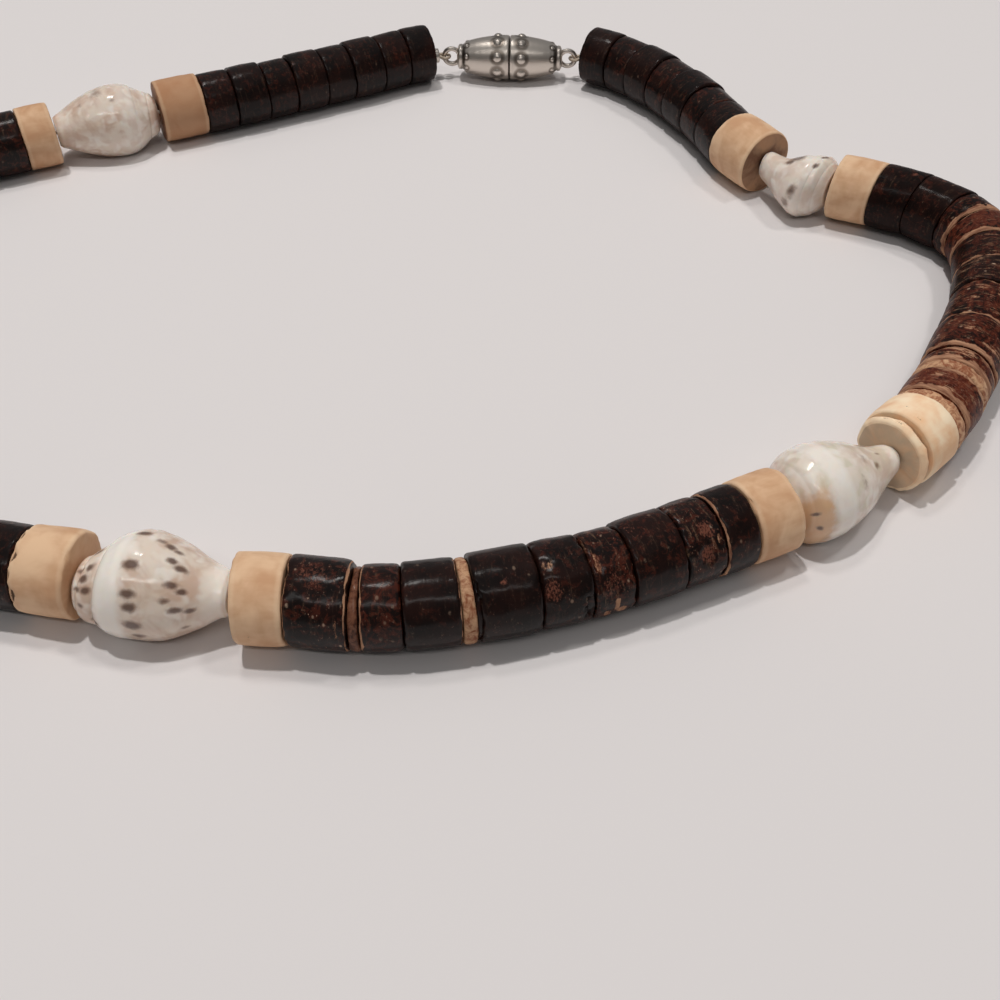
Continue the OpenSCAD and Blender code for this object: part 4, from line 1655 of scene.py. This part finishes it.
@dataclass
class Choker:
    """The whole string: finds every seat and builds every piece.

    Attributes:
        rim_base: Round of a coconut bead's rims without wear, in mm.
        rim_worn: What a whole unit of wear adds to it, in mm.
        rim_most: Its greatest value, in mm.
        wood_rim: The same round of a wood bead, in mm.
        coco_belly: How much a coconut bead swells, in mm.
        wood_belly: How much a wood bead swells, in mm.
        disc_belly: How much the thin wood disc swells, in mm.
        shown: Points round a bead and along its wall.
        hidden: The same for the nodes that the photo doesn't show.
        hidden_nodes: Those nodes.
        shell_reach: How far from a shell's middle the cord is led, as a part of its length.
        bead_reach: The same in a bead at a bend.
        clasp_height: Height of the clasp's axis above the table, in mm.
        crimp_height: The same for the crimps.
        crimp_place: Distance of a crimp from the clasp's middle, in mm.
        cord_end: Half of the cord's way through an end ring: points along, to the left and up
            from the clasp's middle, in mm.
    """

    rim_base: float = 0.04
    rim_worn: float = 0.7
    rim_most: float = 0.34
    wood_rim: float = 0.25
    coco_belly: float = 0.04
    wood_belly: float = 0.06
    disc_belly: float = 0.3
    shown: tuple[int, int] = (96, 22)
    hidden: tuple[int, int] = (72, 16)
    hidden_nodes: tuple[str, ...] = ("coco_run_5", "wood_7", "wood_8")
    shell_reach: float = 0.42
    bead_reach: float = 0.35
    clasp_height: float = 3.3
    crimp_height: float = 3.5
    crimp_place: float = 11.475
    cord_end: tuple[tuple[float, float, float], ...] = (
        (9.3, 0, 3.3), (9.4, 0.3, 3.3), (9.6, 0.58, 3.3), (9.9, 0.76, 3.3), (10.3, 0.78, 3.32),
        (10.65, 0.58, 3.42), (10.9, 0.36, 3.49), (11.1, 0.32, 3.5), (11.8, 0.31, 3.5),
    )  # fmt: skip

    def __post_init__(self) -> None:
        """Lays the string out and makes its finishes."""
        self.route = Route(CORNERS)
        self.seats = Layout(self.route, STRING).seats()
        self.coconut = CoconutFinish().build()
        self.wood = WoodFinish().build()
        self.whelk = ShellFinish().build()
        self.silver = SilverFinish().build()
        self.cord = CordFinish().build()

    def build(self) -> None:
        """Builds the beads and shells in order, then the clasp and the cord."""
        number = 0
        for name, seats in self.seats.items():
            if name in SHELL_LOOKS:
                shell = WhelkShape(*seats[0], number, SHELL_LOOKS[name]).patch()
                self._piece(name, "shell", self.whelk, [shell])
            else:
                is_wood = name.startswith("wood")
                slot, finish = ("wood", self.wood) if is_wood else ("coconut", self.coconut)
                beads = [self._bead(name, *seat, number + k) for k, seat in enumerate(seats)]
                self._piece(name, slot, finish, beads)
            number += len(seats)
        self._clasp()
        self._cord()

    def _piece(self, node: str, slot: str, finish: bpy.types.Material, patches: list[Patch]) -> None:
        """Builds the piece that stands for one node."""
        Piece(f"look_{node}", (node,), slot, finish, patches).build()

    def _bead(self, node: str, row: Row, seat: Seat, number: int) -> Patch:
        """One bead, as worn as its looks say and as fine as its node needs.

        Args:
            node: Its node.
            row: Its sizes and looks.
            seat: Where it sits.
            number: Its place on the string.

        Returns:
            Its surface.
        """
        rim = min(self.rim_most, self.rim_base + self.rim_worn * row.look.wear)
        belly = self.coco_belly
        if node.startswith("wood"):
            rim, belly = self.wood_rim, self.disc_belly if node == "wood_disc" else self.wood_belly
        fine = self.hidden if node in self.hidden_nodes else self.shown
        return BeadShape(row, seat, number, rim, belly, *fine).patch()

    def _clasp(self) -> None:
        """Builds both halves of the clasp and both crimps."""
        middle = np.array([*self.route.spot(0.0), self.clasp_height])
        facing = self.route.heading(0.0)
        for name, turn in (("clasp_screw", 0.0), ("clasp_socket", 180.0)):
            self._piece(name, "silver", self.silver, ClaspHalf(Seat(middle, facing + turn)).patches())
        for name, s in (("crimp_right", self.crimp_place), ("crimp_left", -self.crimp_place)):
            seat = Seat(np.array([*self.route.spot(s), self.crimp_height]), self.route.heading(s))
            self._piece(name, "silver", self.silver, [CrimpShape(seat).patch()])

    def _cord(self) -> None:
        """Builds the cord through both end rings and every bore."""
        loop = np.array(self.cord_end)
        right = np.concatenate([loop[:0:-1] * (1, -1, 1), loop])
        left = right[::-1] * (-1, -1, 1)
        through = []
        for row, seat in itertools.chain.from_iterable(self.seats.values()):
            reach = self.shell_reach if row.kind is Kind.SHELL else self.bead_reach
            is_led = row.kind is Kind.SHELL or row.lean or row.turn
            spots = (-reach, reach) if is_led else (0.0,)
            through += [seat.place(np.array([k * row.long, 0.0, 0.0])) for k in spots]
        path = np.concatenate([self._beside(right), np.array(through), self._beside(left)])
        self._piece("thread", "thread", self.cord, [CordShape(path).patch()])

    def _beside(self, points: Array) -> Array:
        """Places points beside the route.

        Args:
            points: For each its distance along the route and to the left, and its height, in mm.

        Returns:
            The points in the row frame, in mm.
        """
        placed = []
        for s, off, height in points:
            a = math.radians(self.route.heading(s))
            x, y = self.route.spot(s)
            placed.append((x - off * math.sin(a), y + off * math.cos(a), height))
        return np.array(placed)


@dataclass(frozen=True)
class Panel:
    """A flat area light.

    Attributes:
        name: Its name.
        place: Its middle, in metres.
        size: Its two sides, in metres.
        watts: Its power.
        colour: Its colour in linear light.
        mirrored: Whether polished surfaces show it.
    """

    name: str
    place: tuple[float, float, float]
    size: tuple[float, float]
    watts: float
    colour: tuple[float, float, float] = (1.0, 1.0, 1.0)
    mirrored: bool = True

    def build(self) -> None:
        """Adds the light, turned towards the choker."""
        light = bpy.data.lights.new(self.name, "AREA")
        light.shape = "RECTANGLE"
        light.size, light.size_y = self.size
        light.energy = self.watts
        light.color = self.colour
        obj = bpy.data.objects.new(self.name, light)
        obj.location = self.place
        obj.rotation_euler = (-Vector(self.place)).to_track_quat("-Z", "Y").to_euler()
        obj.visible_camera = False
        obj.visible_glossy = self.mirrored
        bpy.context.scene.collection.objects.link(obj)


@dataclass(frozen=True)
class Studio:
    """Table, lights, surroundings and camera.

    Attributes:
        camera_place: Where the photo was taken from, in metres.
        camera_pitch: How far the camera looks down, in degrees.
        lens: Focal length for a 36 mm sensor.
        panels: The lights.
        ambient: Light from all round.
        table_edge: Half width of the table, in metres.
    """

    camera_place: tuple[float, float, float] = (0.01734, -0.12148, 0.08736)
    camera_pitch: float = 46.0
    lens: float = 42.55
    panels: tuple[Panel, ...] = (
        Panel("key", (-0.12, 0.06, 0.9), (0.04, 0.04), 3.25, (1.0, 0.985, 0.975), False),
        Panel("side", (0.35, 0.15, 0.8), (0.1, 0.1), 1.2, (1.0, 0.98, 0.95), False),
        Panel("ceiling", (0.0, 0.4, 0.75), (1.6, 2.9), 2.2, (0.96, 0.975, 1.0)),
        Panel("band", (-0.05, -0.46, 0.72), (0.7, 0.06), 0.8, (1.0, 0.99, 0.97)),
        Panel("spark", (-0.1, 0.25, 0.8), (0.1, 0.1), 0.9, (1.0, 0.98, 0.95)),
    )
    ambient: float = 0.11
    table_edge: float = 3.0

    def build(self) -> None:
        """Adds everything and reports it."""
        self._table()
        for panel in self.panels:
            panel.build()
        self._surroundings()
        self._camera()
        scene = bpy.context.scene
        scene.view_settings.view_transform = "Standard"
        scene.view_settings.look = "None"
        log.info("studio: %d lights", len(self.panels))

    def _table(self) -> None:
        """Adds the plain top."""
        mesh = bpy.data.meshes.new("table")
        edge = self.table_edge
        corners = [(-edge, -edge, 0), (edge, -edge, 0), (edge, edge, 0), (-edge, edge, 0)]
        mesh.from_pydata(corners, [], [(0, 1, 2, 3)])
        mesh.materials.append(TableFinish().build())
        table = bpy.data.objects.new("table", mesh)
        bpy.context.scene.collection.objects.link(table)

    def _surroundings(self) -> None:
        """Dim all round, but pale where the camera itself sees past the table."""
        world = bpy.data.worlds.new("room")
        bpy.context.scene.world = world
        g = Graph(world)
        room = {"Color": (1.0, 0.99, 0.98, 1.0), "Strength": self.ambient}
        dim = g.node("ShaderNodeBackground", room).outputs[0]
        pale = g.node("ShaderNodeBackground", {"Color": linear(TableFinish.backdrop)}).outputs[0]
        seen = g.node("ShaderNodeLightPath", {}).outputs["Is Camera Ray"]
        both = g.node("ShaderNodeMixShader", {0: seen, 1: dim, 2: pale})
        g.node("ShaderNodeOutputWorld", {"Surface": both.outputs[0]})

    def _camera(self) -> None:
        """Adds the camera and makes it the scene's."""
        data = bpy.data.cameras.new("camera")
        data.sensor_width, data.lens = 36.0, self.lens
        data.clip_start = 0.005
        camera = bpy.data.objects.new("camera", data)
        camera.location = self.camera_place
        camera.rotation_euler = (math.radians(90.0 - self.camera_pitch), 0.0, 0.0)
        bpy.context.scene.collection.objects.link(camera)
        bpy.context.scene.camera = camera


def main() -> None:
    """Builds the choker and its studio."""
    logging.basicConfig(level=logging.INFO, format="%(name)s: %(message)s")
    Choker().build()
    Studio().build()


if __name__ == "__main__":
    main()
